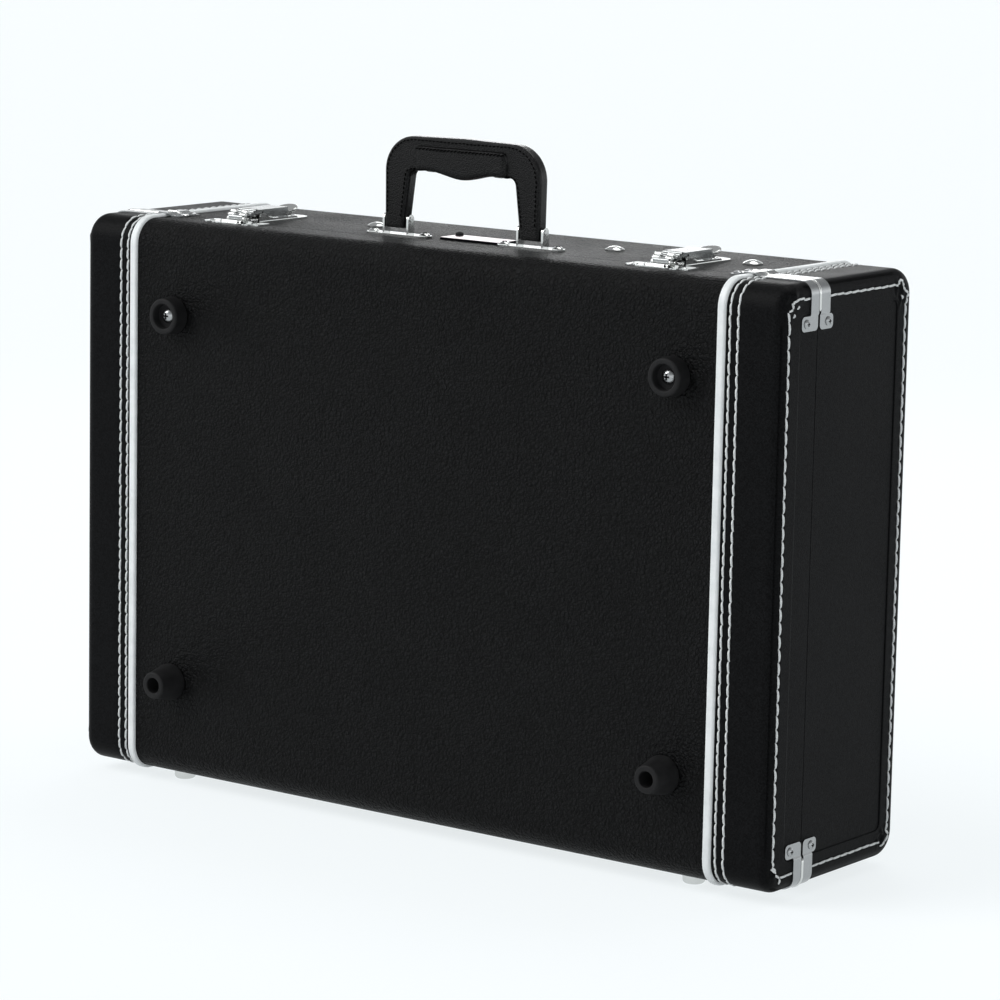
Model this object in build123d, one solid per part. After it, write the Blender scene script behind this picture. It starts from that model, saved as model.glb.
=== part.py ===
"""A hard case for guitar pedals: two covered plywood halves that open on hinges.

Frame: +X along the length, -Y towards the face with the rubber feet, +Z up.
The case stands on its hinge edge, on metal glides, with the handle on top.
The origin is on the floor, below the middle of the whole object's outline.
"""

import os
from math import asin, cos, pi, radians, sin, tan

from build123d import *

# ---------------------------------------------------------------------------
# Driving dimensions, in millimetres
# ---------------------------------------------------------------------------
# A value called _S is a distance behind the seam, along +Y; one before it is negative.

# The closed case, without feet and fittings
CASE_LENGTH = 667.0
CASE_DEPTH = 176.0
CASE_HEIGHT = 447.0
BASE_DEPTH = 46.0  # the front half; the lid is the rest
LONG_EDGE_RADIUS = 20.0
END_EDGE_RADIUS = 9.0
SEAM = 0.6  # gap between the closed halves

# Walls and coverings
SKIN = 1.0  # covering on the four long sides
END_SKIN = 1.6  # covering round the border of an end face
END_PANEL_THICKNESS = 0.8
END_PANEL_INSET = 22.5
END_PANEL_RADIUS = 6.0
WALL = 7.0
PANEL = 6.0
LINING = 1.5
PIPING_X = 281.0
PIPING_WIDTH = 7.2
PIPING_PROUD = 2.2

# Inside
LIP_THICKNESS = 4.0
LIP_HEIGHT = 8.0  # how far the base's lip stands into the lid
LIP_DEPTH = 18.0  # how far it reaches down into the base
LIP_CLEARANCE = 1.0
DECK_THICKNESS = 6.0
DECK_CARPET = 2.5
DECK_GAP = 3.0
FOAM_THICKNESS = 14.0
FOAM_GAP = 1.0
FOAM_CROWN = 4.0

# Feet on the front face, glides on the hinge edge
FOOT_X = 240.0
FOOT_RADIUS = 15.0
SHORT_FOOT_DROP = 73.0  # below the top of the case
SHORT_FOOT_HEIGHT = 13.0
SHORT_FOOT_BORE_RADIUS = 9.5
SHORT_FOOT_BORE_DEPTH = 7.0
TALL_FOOT_Z = 78.0  # above the bottom of the case
TALL_FOOT_HEIGHT = 22.0
TALL_FOOT_TIP_RADIUS = 10.5
TALL_FOOT_BORE_RADIUS = 6.2
TALL_FOOT_BORE_DEPTH = 16.0
FOOT_SCREW_HEAD_RADIUS = 5.5
FOOT_SCREW_HEAD_HEIGHT = 3.2
GLIDE_X = 250.0
GLIDE_RADIUS = 8.8
GLIDE_HEIGHT = 8.0
BASE_GLIDE_S = -16.0
LID_GLIDE_S = 104.0

# Hinges
HINGE_X = 197.0
HINGE_DROP = 4.1  # axis below the bottom of the case
HINGE_LEAF_LENGTH = 52.0
HINGE_LEAF_WIDTH = 22.0
HINGE_LEAF_THICKNESS = 1.2
KNUCKLE_RADIUS = 3.5
KNUCKLE_LENGTH = 7.2
KNUCKLE_GAP = 0.4
KNUCKLE_SPREAD = 15.5  # from the hinge's middle to the middle of a knuckle pair
HINGE_PIN_RADIUS = 1.5
RUNNING_CLEARANCE = 0.05
RIVET_HEAD_RADIUS = 2.6
RIVET_HEAD_HEIGHT = 1.0
RIVET_SHANK_RADIUS = 1.4

# Corner strips at the seam
STRIP_THICKNESS = 1.0
STRIP_START_X = 264.0
STRIP_TO_SEAM = 1.0
BASE_STRIP_WIDTH = 10.5
BASE_TAB_WIDTH = 21.0
LID_STRIP_WIDTH = 12.0
LID_TAB_WIDTH = 17.5
STRIP_DROP = 35.0  # how far it runs down the end face
STRIP_TAB_HEIGHT = 11.0
STRIP_STEP_HEIGHT = 1.6  # where it steps down from the border onto the end panel
STRIP_HOOD_GAP = 0.6  # between the bead and the strip's hump, along X
STRIP_CREST_SLOPE = 4.5
STRIP_CLEARANCE = 0.1
CORNER_SCREW_HEAD_RADIUS = 3.4
CORNER_SCREW_HEAD_HEIGHT = 1.8
CORNER_SCREW_EDGE = 6.5  # from a tab's outer edge to its screw
SCREW_SHANK_RADIUS = 1.6
SCREW_LENGTH = 6.0

# Studs and name plate on top of the lid
STUD_XS = (115.0, 240.0)
STUD_S = 54.0
STUD_RADIUS = 7.5
STUD_HEIGHT = 3.6
PLATE_LENGTH = 58.0
PLATE_WIDTH = 25.0
PLATE_THICKNESS = 1.8
PLATE_X = 3.5  # it isn't quite in the middle
PLATE_S = 30.0

# Handle
HANDLE_S = 17.0
HANDLE_SPAN = 150.0
HANDLE_TOP = 79.0  # heights above the top of the case
HANDLE_OPENING = 52.0
HANDLE_FOOT = 6.0
HANDLE_THICKNESS = 12.0
HANDLE_CORNER_RADIUS = 27.0
LEG_WIDTH = 19.0
LEG_TAPER = 6.0  # how much wider a leg is at the opening's top
GRIP_LENGTH = 88.0
GRIP_THICKNESS = 18.0
GRIP_TOP = 72.5
GRIP_HUMP = 3.3
CORE_THICKNESS = 2.5
CORE_WIDTH = 6.0
CORE_COVER = 9.0  # leather over the band
CORE_SPLAY = 3.0
MOUNT_LENGTH = 60.0
MOUNT_WIDTH = 14.0
MOUNT_THICKNESS = 1.5
EAR_THICKNESS = 1.8
EAR_WIDTH = 7.5
EAR_GAP = 0.4
HANDLE_PIVOT = 13.0
HANDLE_PIN_RADIUS = 2.0
MOUNT_SCREW_SPREAD = 25.0
MOUNT_SCREW_HEAD_RADIUS = 4.2
MOUNT_SCREW_HEAD_HEIGHT = 2.4

# Latches: u is across a latch, h is the height above the top of the case
LATCH_X = 204.0
SHEET = 1.5
LATCH_PLATE_START = 1.5
LATCH_PLATE_END = 66.0
LATCH_PLATE_HALF = 13.5
LEVER_PIVOT_S = 4.0
LEVER_PIVOT_H = 5.5
CLAW_PIVOT_S = 40.0
CLAW_PIVOT_H = 5.0
LATCH_PIN_RADIUS = 1.5
LEVER_HALF = 6.5
LEVER_EYE_RADIUS = 2.8
LEVER_TAB_RADIUS = 9.5
LEVER_TAB_S = 50.0
LEVER_TAB_RISE = 12.0
CLAW_HALF = 10.0
CLAW_FLANGE_GAP = 0.7  # between the lever and each flange of the claw
CLAW_TOP = 10.6
CLAW_TONGUE_HALF = 7.0
CLAW_RIDGES = 3
CLAW_SLOPE = 10.0  # length of the sloping nose, along Y
CLAW_SLOPE_DROP = 3.6
HOOK_S = -14.0  # front face of the claw's hook
HOOK_THICKNESS = 2.4
HOOK_GAP = 0.4
CATCH_HALF = 28.0
CATCH_END = -3.5
CATCH_LIP_TOP = 4.9
CATCH_LIP_HALF = 11.0
CATCH_WRAP_DEG = 25.0
CATCH_SCREW_U = 22.0
CATCH_SCREW_S = -15.0

# ---------------------------------------------------------------------------
# Places worked out from them
# ---------------------------------------------------------------------------
FRONT_Y = (TALL_FOOT_HEIGHT - CASE_DEPTH - PIPING_PROUD) / 2
BACK_Y = FRONT_Y + CASE_DEPTH
SPLIT_Y = FRONT_Y + BASE_DEPTH
BOTTOM_Z = GLIDE_HEIGHT
TOP_Z = BOTTOM_Z + CASE_HEIGHT
MID_Y = (FRONT_Y + BACK_Y) / 2
MID_Z = (BOTTOM_Z + TOP_Z) / 2
END_X = CASE_LENGTH / 2
WOOD_END_X = END_X - END_SKIN
END_PANEL_X = WOOD_END_X + END_PANEL_THICKNESS
INSIDE_X = WOOD_END_X - WALL
INSIDE_RADIUS = LONG_EDGE_RADIUS - SKIN - WALL
SHORT_FOOT_Z = CASE_HEIGHT - SHORT_FOOT_DROP
HINGE_Z = BOTTOM_Z - HINGE_DROP
FAR = 2 * CASE_LENGTH  # larger than the object
SIDES = {"left": -1, "right": 1}


class Half:
    """The base or the lid: where its rim and its large panel lie."""

    def __init__(self, name, outward, panel_y, strip_width, tab_width):
        self.name = name
        self.outward = outward
        self.panel_y = panel_y
        self.rim_y = SPLIT_Y + outward * SEAM / 2
        self.strip_width = strip_width
        self.tab_width = tab_width

    def from_rim(self, distance):
        """The Y value this far behind the rim, towards the panel."""
        return self.rim_y + self.outward * distance

    def from_panel(self, distance):
        """The Y value this far inside the panel's outer face."""
        return self.panel_y - self.outward * distance

    def space(self, inset=0.0):
        """Everything behind the rim, or behind a plane inset from it."""
        return between_y(self.from_rim(inset), self.from_rim(FAR))


BASE = Half("base", -1, FRONT_Y, BASE_STRIP_WIDTH, BASE_TAB_WIDTH)
LID = Half("lid", 1, BACK_Y, LID_STRIP_WIDTH, LID_TAB_WIDTH)

# ---------------------------------------------------------------------------
# Helpers
# ---------------------------------------------------------------------------


def slab(x0, x1, y0, y1, z0, z1):
    """A box between two corners, given in any order."""
    centre = ((x0 + x1) / 2, (y0 + y1) / 2, (z0 + z1) / 2)
    return Pos(*centre) * Box(abs(x1 - x0), abs(y1 - y0), abs(z1 - z0))


def between_y(y0, y1):
    """All space between two Y values."""
    return slab(-FAR, FAR, y0, y1, -FAR, FAR)


def between_x(x0, x1):
    """All space between two X values."""
    return slab(x0, x1, -FAR, FAR, -FAR, FAR)


def rounded_block(length, grow, edge_radius, end_radius):
    """The closed case's outline, grown or shrunk alike in depth and height."""
    block = Box(length, CASE_DEPTH + 2 * grow, CASE_HEIGHT + 2 * grow)
    block = fillet(block.edges().filter_by(Axis.X), edge_radius)
    block = fillet(block.faces().filter_by(Axis.X).edges(), end_radius)
    return Pos(0, MID_Y, MID_Z) * block


def inside_block(inset):
    """The room inside the closed walls, less an inset all round."""
    block = Box(
        2 * (INSIDE_X - inset),
        CASE_DEPTH - 2 * (SKIN + PANEL + inset),
        CASE_HEIGHT - 2 * (SKIN + WALL + inset),
    )
    block = fillet(block.edges().filter_by(Axis.X), INSIDE_RADIUS - inset)
    return Pos(0, MID_Y, MID_Z) * block


def solids_of(shape):
    return list(shape.solids())


def cut(shape, tools):
    """The shape less each tool, as a list of solids."""
    for tool in tools:
        shape = shape - tool
    return solids_of(shape)


def mirrored_x(shapes):
    return [mirror(shape, about=Plane.YZ) for shape in shapes]


def mirrored_z(shapes):
    return [mirror(shape, about=Plane.XY.offset(MID_Z)) for shape in shapes]


def facing(point, outward):
    """A plane at a point whose normal points outward."""
    side = (0, 1, 0) if abs(outward[0]) else (1, 0, 0)
    return Plane(origin=point, x_dir=side, z_dir=outward)


def dome_arc(radius, height, rim):
    """The arc of a dome, from its crown to its rim."""
    rise = height - rim
    sphere = (radius**2 + rise**2) / (2 * rise)
    half_angle = asin(min(1.0, radius / sphere)) / 2
    middle = (sphere * sin(half_angle), height - sphere + sphere * cos(half_angle))
    return ThreePointArc((0, height), middle, (radius, rim))


def fastener(plane, head_radius, head_height, shank_radius, shank_length):
    """A domed screw or rivet: its head stands on the plane, its shank goes below."""
    rim = head_height * 0.3
    outline = dome_arc(head_radius, head_height, rim) + Polyline(
        (head_radius, rim),
        (head_radius, 0),
        (shank_radius, 0),
        (shank_radius, -shank_length),
        (0, -shank_length),
        (0, head_height),
    )
    profile = make_face(Plane.XZ * outline)
    return plane * revolve(profile, Axis.Z)


def shank_hole(plane, shank_radius, shank_length):
    """The hole for a fastener's shank, open at the plane's outer side."""
    depth = shank_length + 10
    return plane * Pos(0, 0, 10 - depth / 2) * Cylinder(shank_radius, depth)


def bent_sheet(path, bends, thickness):
    """The outline of a sheet bent along a path: its middle line and bend radii."""
    points = [Vector(*point) for point in path]
    runs = [(b - a).normalized() for a, b in zip(points, points[1:])]
    sides = [Vector(-run.Y, run.X) for run in runs]
    half = thickness / 2
    left = [points[0] + sides[0] * half]
    right = [points[0] - sides[0] * half]
    left_bends = []
    right_bends = []
    for point, before, after, bend in zip(points[1:], sides, sides[1:], bends):
        mitre = (before + after) * (half / (1 + before.dot(after)))
        turns_left = 1 if before.X * after.Y - before.Y * after.X > 0 else -1
        left.append(point + mitre)
        right.append(point - mitre)
        left_bends.append(bend - turns_left * half)
        right_bends.append(bend + turns_left * half)
    left.append(points[-1] + sides[-1] * half)
    right.append(points[-1] - sides[-1] * half)
    corners = [(p.X, p.Y) for p in left + right[::-1]]
    radii = [0, *left_bends, 0, 0, *right_bends[::-1], 0]
    return FilletPolyline(*corners, radius=radii, close=True)


def extruded_yz(face_outline, x0, x1):
    """A solid with an outline drawn in Y and Z, between two X values."""
    plane = Plane(origin=(x0, 0, 0), x_dir=(0, 1, 0), z_dir=(1, 0, 0))
    return extrude(plane * make_face(face_outline), x1 - x0)


def rod_x(x0, x1, y, z, radius):
    """A round bar along X."""
    length = x1 - x0
    return Pos((x0 + x1) / 2, y, z) * Rot(0, 90, 0) * Cylinder(radius, length)


# ---------------------------------------------------------------------------
# Where the fasteners go
# ---------------------------------------------------------------------------


def corner_screw_planes(half):
    """Two screws in each corner strip: one on the end face, one beside the piping."""
    tab_y = half.from_rim(STRIP_TO_SEAM + half.tab_width - CORNER_SCREW_EDGE)
    tab_z = TOP_Z - STRIP_DROP + STRIP_TAB_HEIGHT / 2
    inner_y = half.from_rim(STRIP_TO_SEAM + half.strip_width / 2)
    inner_x = STRIP_START_X + CORNER_SCREW_HEAD_RADIUS
    planes = []
    for side in SIDES.values():
        for top in (1, -1):
            z = MID_Z + top * (tab_z - MID_Z)
            face_x = side * (END_PANEL_X + STRIP_THICKNESS)
            planes.append(facing((face_x, tab_y, z), (side, 0, 0)))
            face_z = MID_Z + top * (CASE_HEIGHT / 2 + STRIP_THICKNESS)
            planes.append(facing((side * inner_x, inner_y, face_z), (0, 0, top)))
    return planes


def foot_screw_planes(height, bore_depth, foot_z):
    """The floor of the bore of each foot of one kind."""
    y = FRONT_Y - height + bore_depth
    places = [(side * FOOT_X, y, BOTTOM_Z + foot_z) for side in SIDES.values()]
    return [facing(place, (0, -1, 0)) for place in places]


def top_planes(spots, height):
    """Planes that face up, at (x, s) spots this far above the top."""
    return [facing((x, SPLIT_Y + s, TOP_Z + height), (0, 0, 1)) for x, s in spots]


def bottom_planes(spots, drop):
    """Planes that face down, at (x, s) spots this far below the bottom."""
    return [facing((x, SPLIT_Y + s, BOTTOM_Z - drop), (0, 0, -1)) for x, s in spots]


def hinge_rivet_spots(half):
    """Three rivets in each hinge leaf."""
    s = half.from_rim(HINGE_LEAF_WIDTH * 0.62) - SPLIT_Y
    offsets = (-HINGE_LEAF_LENGTH / 2 + 6, 0, HINGE_LEAF_LENGTH / 2 - 6)
    return [(side * HINGE_X + dx, s) for side in SIDES.values() for dx in offsets]


def latch_spots(places):
    """(u, s) places of one latch, repeated on both latches."""
    return [(side * LATCH_X + u, s) for side in SIDES.values() for u, s in places]


CATCH_SCREW_SPOTS = latch_spots([(way * CATCH_SCREW_U, CATCH_SCREW_S) for way in (-1, 1)])
LATCH_RIVET_SPOTS = latch_spots([(0, LATCH_PLATE_END - 8), (0, 22)])
MOUNT_X = (HANDLE_SPAN - LEG_WIDTH) / 2 - 2.0
MOUNT_SCREW_SPOTS = [
    (side * MOUNT_X + way * MOUNT_SCREW_SPREAD, HANDLE_S)
    for side in SIDES.values()
    for way in (-1, 1)
]
STUD_SPOTS = [(side * x, STUD_S) for side in SIDES.values() for x in STUD_XS]


def base_holes():
    """The holes that fasteners make in the base's walls and coverings."""
    short = foot_screw_planes(SHORT_FOOT_HEIGHT, SHORT_FOOT_BORE_DEPTH, SHORT_FOOT_Z)
    tall = foot_screw_planes(TALL_FOOT_HEIGHT, TALL_FOOT_BORE_DEPTH, TALL_FOOT_Z)
    holes = [shank_hole(p, SCREW_SHANK_RADIUS, foot_screw_length(p)) for p in short + tall]
    holes += [shank_hole(p, SCREW_SHANK_RADIUS, SCREW_LENGTH) for p in corner_screw_planes(BASE)]
    catch = top_planes(CATCH_SCREW_SPOTS, SHEET)
    holes += [shank_hole(p, RIVET_SHANK_RADIUS, SCREW_LENGTH) for p in catch]
    leaf = bottom_planes(hinge_rivet_spots(BASE), HINGE_LEAF_THICKNESS)
    return holes + [shank_hole(p, RIVET_SHANK_RADIUS, SCREW_LENGTH) for p in leaf]


def lid_holes():
    """The holes that fasteners make in the lid's walls and coverings."""
    holes = [shank_hole(p, SCREW_SHANK_RADIUS, SCREW_LENGTH) for p in corner_screw_planes(LID)]
    riveted = top_planes(LATCH_RIVET_SPOTS, SHEET)
    riveted += bottom_planes(hinge_rivet_spots(LID), HINGE_LEAF_THICKNESS)
    holes += [shank_hole(p, RIVET_SHANK_RADIUS, SCREW_LENGTH) for p in riveted]
    screwed = top_planes(MOUNT_SCREW_SPOTS, MOUNT_THICKNESS) + top_planes(STUD_SPOTS, 0)
    return holes + [shank_hole(p, SCREW_SHANK_RADIUS, SCREW_LENGTH) for p in screwed]


def foot_screw_length(plane):
    """From the floor of a foot's bore to 1 mm short of the lining."""
    return FRONT_Y + SKIN + PANEL - 1.0 - plane.origin.Y


# ---------------------------------------------------------------------------
# Walls, coverings and lining
# ---------------------------------------------------------------------------
OUTSIDE = rounded_block(CASE_LENGTH, 0, LONG_EDGE_RADIUS, END_EDGE_RADIUS)
WOOD_OUTSIDE = rounded_block(
    2 * WOOD_END_X, -SKIN, LONG_EDGE_RADIUS - SKIN, END_EDGE_RADIUS - SKIN
)
INSIDE = inside_block(0)
LINED_INSIDE = inside_block(LINING)


def wooden_walls(half, holes):
    """The large panel, the top and bottom walls, and the two end walls."""
    wood = (WOOD_OUTSIDE - INSIDE) & half.space(SKIN)
    panel_space = between_y(half.panel_y + half.outward, half.from_panel(SKIN + PANEL))
    rest = wood - panel_space
    ends = between_x(-FAR, -INSIDE_X) + between_x(INSIDE_X, FAR)
    return {
        f"{half.name}_panel": cut(wood & panel_space, holes),
        f"{half.name}_long_walls": cut(rest - ends, holes),
        f"{half.name}_end_walls": cut(rest & ends, holes),
    }


def end_window(half):
    """The opening in an end cover's border, where the end panel lies."""
    deep = half.from_panel(END_PANEL_INSET)
    past = half.from_rim(-END_PANEL_RADIUS * 2)
    window = slab(
        WOOD_END_X, FAR, deep, past, BOTTOM_Z + END_PANEL_INSET, TOP_Z - END_PANEL_INSET
    )
    return fillet(window.edges().filter_by(Axis.X), END_PANEL_RADIUS)


def coverings(half, holes):
    """Grained vinyl round the middle, smooth covers on the ends, and end panels."""
    skin = (OUTSIDE & half.space()) - (WOOD_OUTSIDE & half.space(SKIN)) - INSIDE
    inner = PIPING_X - PIPING_WIDTH / 2
    outer = PIPING_X + PIPING_WIDTH / 2
    window = end_window(half)
    end = (skin & between_x(outer, FAR)) - window
    sheet = between_x(WOOD_END_X, END_PANEL_X)
    panel = window & sheet & half.space()
    parts = {f"{half.name}_cover": cut(skin & between_x(-inner, inner), holes)}
    for name, side in SIDES.items():
        cover = [end] if side > 0 else mirrored_x([end])
        inset = [panel] if side > 0 else mirrored_x([panel])
        parts[f"{half.name}_end_cover_{name}"] = cut(cover[0], holes)
        parts[f"{half.name}_end_panel_{name}"] = cut(inset[0], holes)
    return parts


def piping(half):
    """A moulded bead round each end of the grained covering."""
    bead = rounded_block(
        PIPING_WIDTH,
        PIPING_PROUD,
        LONG_EDGE_RADIUS + PIPING_PROUD,
        PIPING_PROUD * 0.95,
    )
    bead = Pos(PIPING_X, 0, 0) * bead
    bead = (bead & half.space()) - (WOOD_OUTSIDE & half.space(SKIN)) - INSIDE
    return {f"{half.name}_piping": solids_of(bead) + mirrored_x(solids_of(bead))}


def lining(half):
    """Plush glued over the inside of the walls and panel."""
    return {f"{half.name}_lining": solids_of((INSIDE - LINED_INSIDE) & half.space())}


def lip_outline():
    """A lip's section: depth along Y, thickness inward from the lining."""
    top = SPLIT_Y + LIP_HEIGHT
    foot = BASE.from_rim(LIP_DEPTH)
    return [
        (foot, 0),
        (BASE.rim_y, 0),
        (BASE.rim_y + 1.0, LIP_CLEARANCE),
        (top - 1.5, LIP_CLEARANCE),
        (top, LIP_CLEARANCE + 1.0),
        (top, LIP_THICKNESS),
        (foot, LIP_THICKNESS),
    ]


def base_lip():
    """Four strips inside the base's rim that the lid closes over."""
    wall_z = TOP_Z - SKIN - WALL - LINING
    wall_x = INSIDE_X - LINING
    long_section = Polyline(*[(y, wall_z - t) for y, t in lip_outline()], close=True)
    reach = wall_x - LIP_THICKNESS
    long_strip = extruded_yz(long_section, -reach, reach)
    end_section = Polyline(*[(wall_x - t, y) for y, t in lip_outline()], close=True)
    low = 2 * MID_Z - wall_z
    end_plane = Plane.XY.offset(low)
    end_strip = extrude(end_plane * make_face(end_section), wall_z - low)
    ends = [end_strip] + mirrored_x([end_strip])
    return {"base_lip": [long_strip] + mirrored_z([long_strip]) + ends}


def pedal_deck():
    """The board that pedals stand on, with its loop carpet."""
    back = BASE.from_panel(SKIN + PANEL + LINING)
    half_x = INSIDE_X - LINING - LIP_THICKNESS - DECK_GAP
    half_z = CASE_HEIGHT / 2 - SKIN - WALL - LINING - LIP_THICKNESS - DECK_GAP - 4
    board = slab(
        -half_x, half_x, back, back + DECK_THICKNESS, MID_Z - half_z, MID_Z + half_z
    )
    board = fillet(board.edges().filter_by(Axis.Y), 12)
    face = back + DECK_THICKNESS
    carpet = slab(
        -half_x, half_x, face, face + DECK_CARPET, MID_Z - half_z, MID_Z + half_z
    )
    carpet = fillet(carpet.edges().filter_by(Axis.Y), 12)
    carpet = fillet(carpet.faces().sort_by(Axis.Y)[-1].edges(), 1.0)
    return {"pedal_deck": [board], "deck_carpet": [carpet]}


def lid_foam():
    """A crowned pad against the lid's panel."""
    back = LID.from_panel(SKIN + PANEL + LINING)
    room = INSIDE_RADIUS - LINING + FOAM_GAP
    half_x = INSIDE_X - LINING - FOAM_GAP
    half_z = CASE_HEIGHT / 2 - SKIN - WALL - LINING - room
    edge = FOAM_THICKNESS - FOAM_CROWN
    pad = slab(-half_x, half_x, back - edge, back, MID_Z - half_z, MID_Z + half_z)
    pad = fillet(pad.edges().filter_by(Axis.Y), 10)
    pad = fillet(pad.faces().sort_by(Axis.Y)[0].edges(), edge * 0.6)
    face = Plane(origin=(0, back - edge, MID_Z), x_dir=(1, 0, 0), z_dir=(0, -1, 0))
    rim = face * RectangleRounded(2 * half_x - 16, 2 * half_z - 16, 8)
    crest = face.offset(FOAM_CROWN) * RectangleRounded(1.5 * half_x, 1.5 * half_z, 20)
    return {"lid_foam": solids_of(pad + loft([rim, crest]))}


# ---------------------------------------------------------------------------
# Feet, glides, studs and name plate
# ---------------------------------------------------------------------------


def revolved_foot(outline, z):
    """A foot on each side of the front face, turned about its own axis."""
    foot = revolve(make_face(Plane.XZ * outline), Axis.Z)
    places = [(side * FOOT_X, FRONT_Y, BOTTOM_Z + z) for side in SIDES.values()]
    return [facing(place, (0, -1, 0)) * foot for place in places]


def short_feet():
    """Low round rubber feet with a wide screw recess."""
    top = SHORT_FOOT_HEIGHT
    bore = SHORT_FOOT_BORE_RADIUS
    outline = FilletPolyline(
        (SCREW_SHANK_RADIUS, 0),
        (FOOT_RADIUS, 0),
        (FOOT_RADIUS - 0.8, top),
        (bore + 0.4, top),
        (bore, top - SHORT_FOOT_BORE_DEPTH),
        (SCREW_SHANK_RADIUS, top - SHORT_FOOT_BORE_DEPTH),
        radius=[0, 0.8, 2.0, 1.2, 0.6, 0],
        close=True,
    )
    return {"short_feet": revolved_foot(outline, SHORT_FOOT_Z)}


def tall_feet():
    """High tapered rubber feet with a deep, narrow bore."""
    top = TALL_FOOT_HEIGHT
    bore = TALL_FOOT_BORE_RADIUS
    outline = FilletPolyline(
        (SCREW_SHANK_RADIUS, 0),
        (FOOT_RADIUS, 0),
        (FOOT_RADIUS - 0.3, 3.0),
        (TALL_FOOT_TIP_RADIUS, top),
        (bore, top),
        (bore, top - TALL_FOOT_BORE_DEPTH),
        (SCREW_SHANK_RADIUS, top - TALL_FOOT_BORE_DEPTH),
        radius=[0, 0.8, 1.5, 1.8, 0.8, 0.6, 0],
        close=True,
    )
    return {"tall_feet": revolved_foot(outline, TALL_FOOT_Z)}


def foot_screws():
    """Pan-head screws in the feet."""
    planes = foot_screw_planes(SHORT_FOOT_HEIGHT, SHORT_FOOT_BORE_DEPTH, SHORT_FOOT_Z)
    planes += foot_screw_planes(TALL_FOOT_HEIGHT, TALL_FOOT_BORE_DEPTH, TALL_FOOT_Z)
    head = (FOOT_SCREW_HEAD_RADIUS, FOOT_SCREW_HEAD_HEIGHT, SCREW_SHANK_RADIUS)
    return {"foot_screws": [fastener(p, *head, foot_screw_length(p)) for p in planes]}


def glides(half, s):
    """Domed steel glides that the standing case rests on."""
    outline = FilletPolyline(
        (0, 0),
        (GLIDE_RADIUS + 1.0, 0),
        (GLIDE_RADIUS + 1.0, 1.0),
        (GLIDE_RADIUS, 1.6),
        (GLIDE_RADIUS - 0.4, GLIDE_HEIGHT),
        (0, GLIDE_HEIGHT),
        radius=[0, 0, 0.5, 0.4, 2.6, 0],
        close=True,
    )
    glide = revolve(make_face(Plane.XZ * outline), Axis.Z)
    spots = [(side * GLIDE_X, s) for side in SIDES.values()]
    return {f"{half.name}_glides": [plane * glide for plane in bottom_planes(spots, 0)]}


def lid_studs():
    """Low domed studs on top of the lid."""
    shape = (STUD_RADIUS, STUD_HEIGHT, SCREW_SHANK_RADIUS, SCREW_LENGTH)
    return {"lid_studs": [fastener(p, *shape) for p in top_planes(STUD_SPOTS, 0)]}


def name_plate():
    """A blank plate glued to the top."""
    plate = Box(PLATE_LENGTH, PLATE_WIDTH, PLATE_THICKNESS)
    plate = fillet(plate.edges().filter_by(Axis.Z), 2.5)
    plate = chamfer(plate.faces().sort_by(Axis.Z)[-1].edges(), 0.6)
    place = Pos(PLATE_X, SPLIT_Y + PLATE_S, TOP_Z + PLATE_THICKNESS / 2)
    return {"name_plate": [place * plate]}


# ---------------------------------------------------------------------------
# Hinges
# ---------------------------------------------------------------------------


def knuckle_ends(half):
    """The X spans of one half's knuckles on the right-hand hinge."""
    spans = []
    for way in (-1, 1):
        seam_x = HINGE_X + way * KNUCKLE_SPREAD
        near = seam_x - half.outward * KNUCKLE_GAP / 2
        far = near - half.outward * KNUCKLE_LENGTH
        spans.append((min(near, far), max(near, far)))
    return spans


def hinge_leaves(half):
    """A riveted leaf with two rolled knuckles, on each side."""
    low = BOTTOM_Z - HINGE_LEAF_THICKNESS
    near = half.from_rim(KNUCKLE_RADIUS)
    leaf = slab(
        HINGE_X - HINGE_LEAF_LENGTH / 2,
        HINGE_X + HINGE_LEAF_LENGTH / 2,
        near,
        half.from_rim(HINGE_LEAF_WIDTH),
        low,
        BOTTOM_Z,
    )
    leaf = fillet(leaf.edges().filter_by(Axis.Z), 3.0)
    bore = HINGE_PIN_RADIUS if half is BASE else HINGE_PIN_RADIUS + RUNNING_CLEARANCE
    for x0, x1 in knuckle_ends(half):
        arm_top = HINGE_Z + KNUCKLE_RADIUS
        arm = slab(x0, x1, SPLIT_Y, half.from_rim(KNUCKLE_RADIUS + 2), low, arm_top)
        foot = slab(x0, x1, near, half.from_rim(KNUCKLE_RADIUS + 2), low, BOTTOM_Z)
        leaf = leaf + arm + foot + rod_x(x0, x1, SPLIT_Y, HINGE_Z, KNUCKLE_RADIUS)
    leaf = leaf - rod_x(0, FAR, SPLIT_Y, HINGE_Z, bore)
    planes = bottom_planes(hinge_rivet_spots(half), HINGE_LEAF_THICKNESS)
    holes = [shank_hole(p, RIVET_SHANK_RADIUS, SCREW_LENGTH) for p in planes]
    leaves = [leaf] + mirrored_x([leaf])
    return {f"{half.name}_hinge_leaves": [s for one in leaves for s in cut(one, holes)]}


def hinge_pins():
    """A short pin through each pair of knuckles."""
    reach = KNUCKLE_LENGTH + KNUCKLE_GAP / 2 + 0.4
    pins = []
    for way in (-1, 1):
        middle = HINGE_X + way * KNUCKLE_SPREAD
        pins.append(rod_x(middle - reach, middle + reach, SPLIT_Y, HINGE_Z, HINGE_PIN_RADIUS))
    return {"hinge_pins": pins + mirrored_x(pins)}


def rivets(name, planes):
    """Small domed rivets or screws through a plate."""
    shape = (RIVET_HEAD_RADIUS, RIVET_HEAD_HEIGHT, RIVET_SHANK_RADIUS, SCREW_LENGTH)
    return {name: [fastener(p, *shape) for p in planes]}


# ---------------------------------------------------------------------------
# Corner strips
# ---------------------------------------------------------------------------


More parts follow.
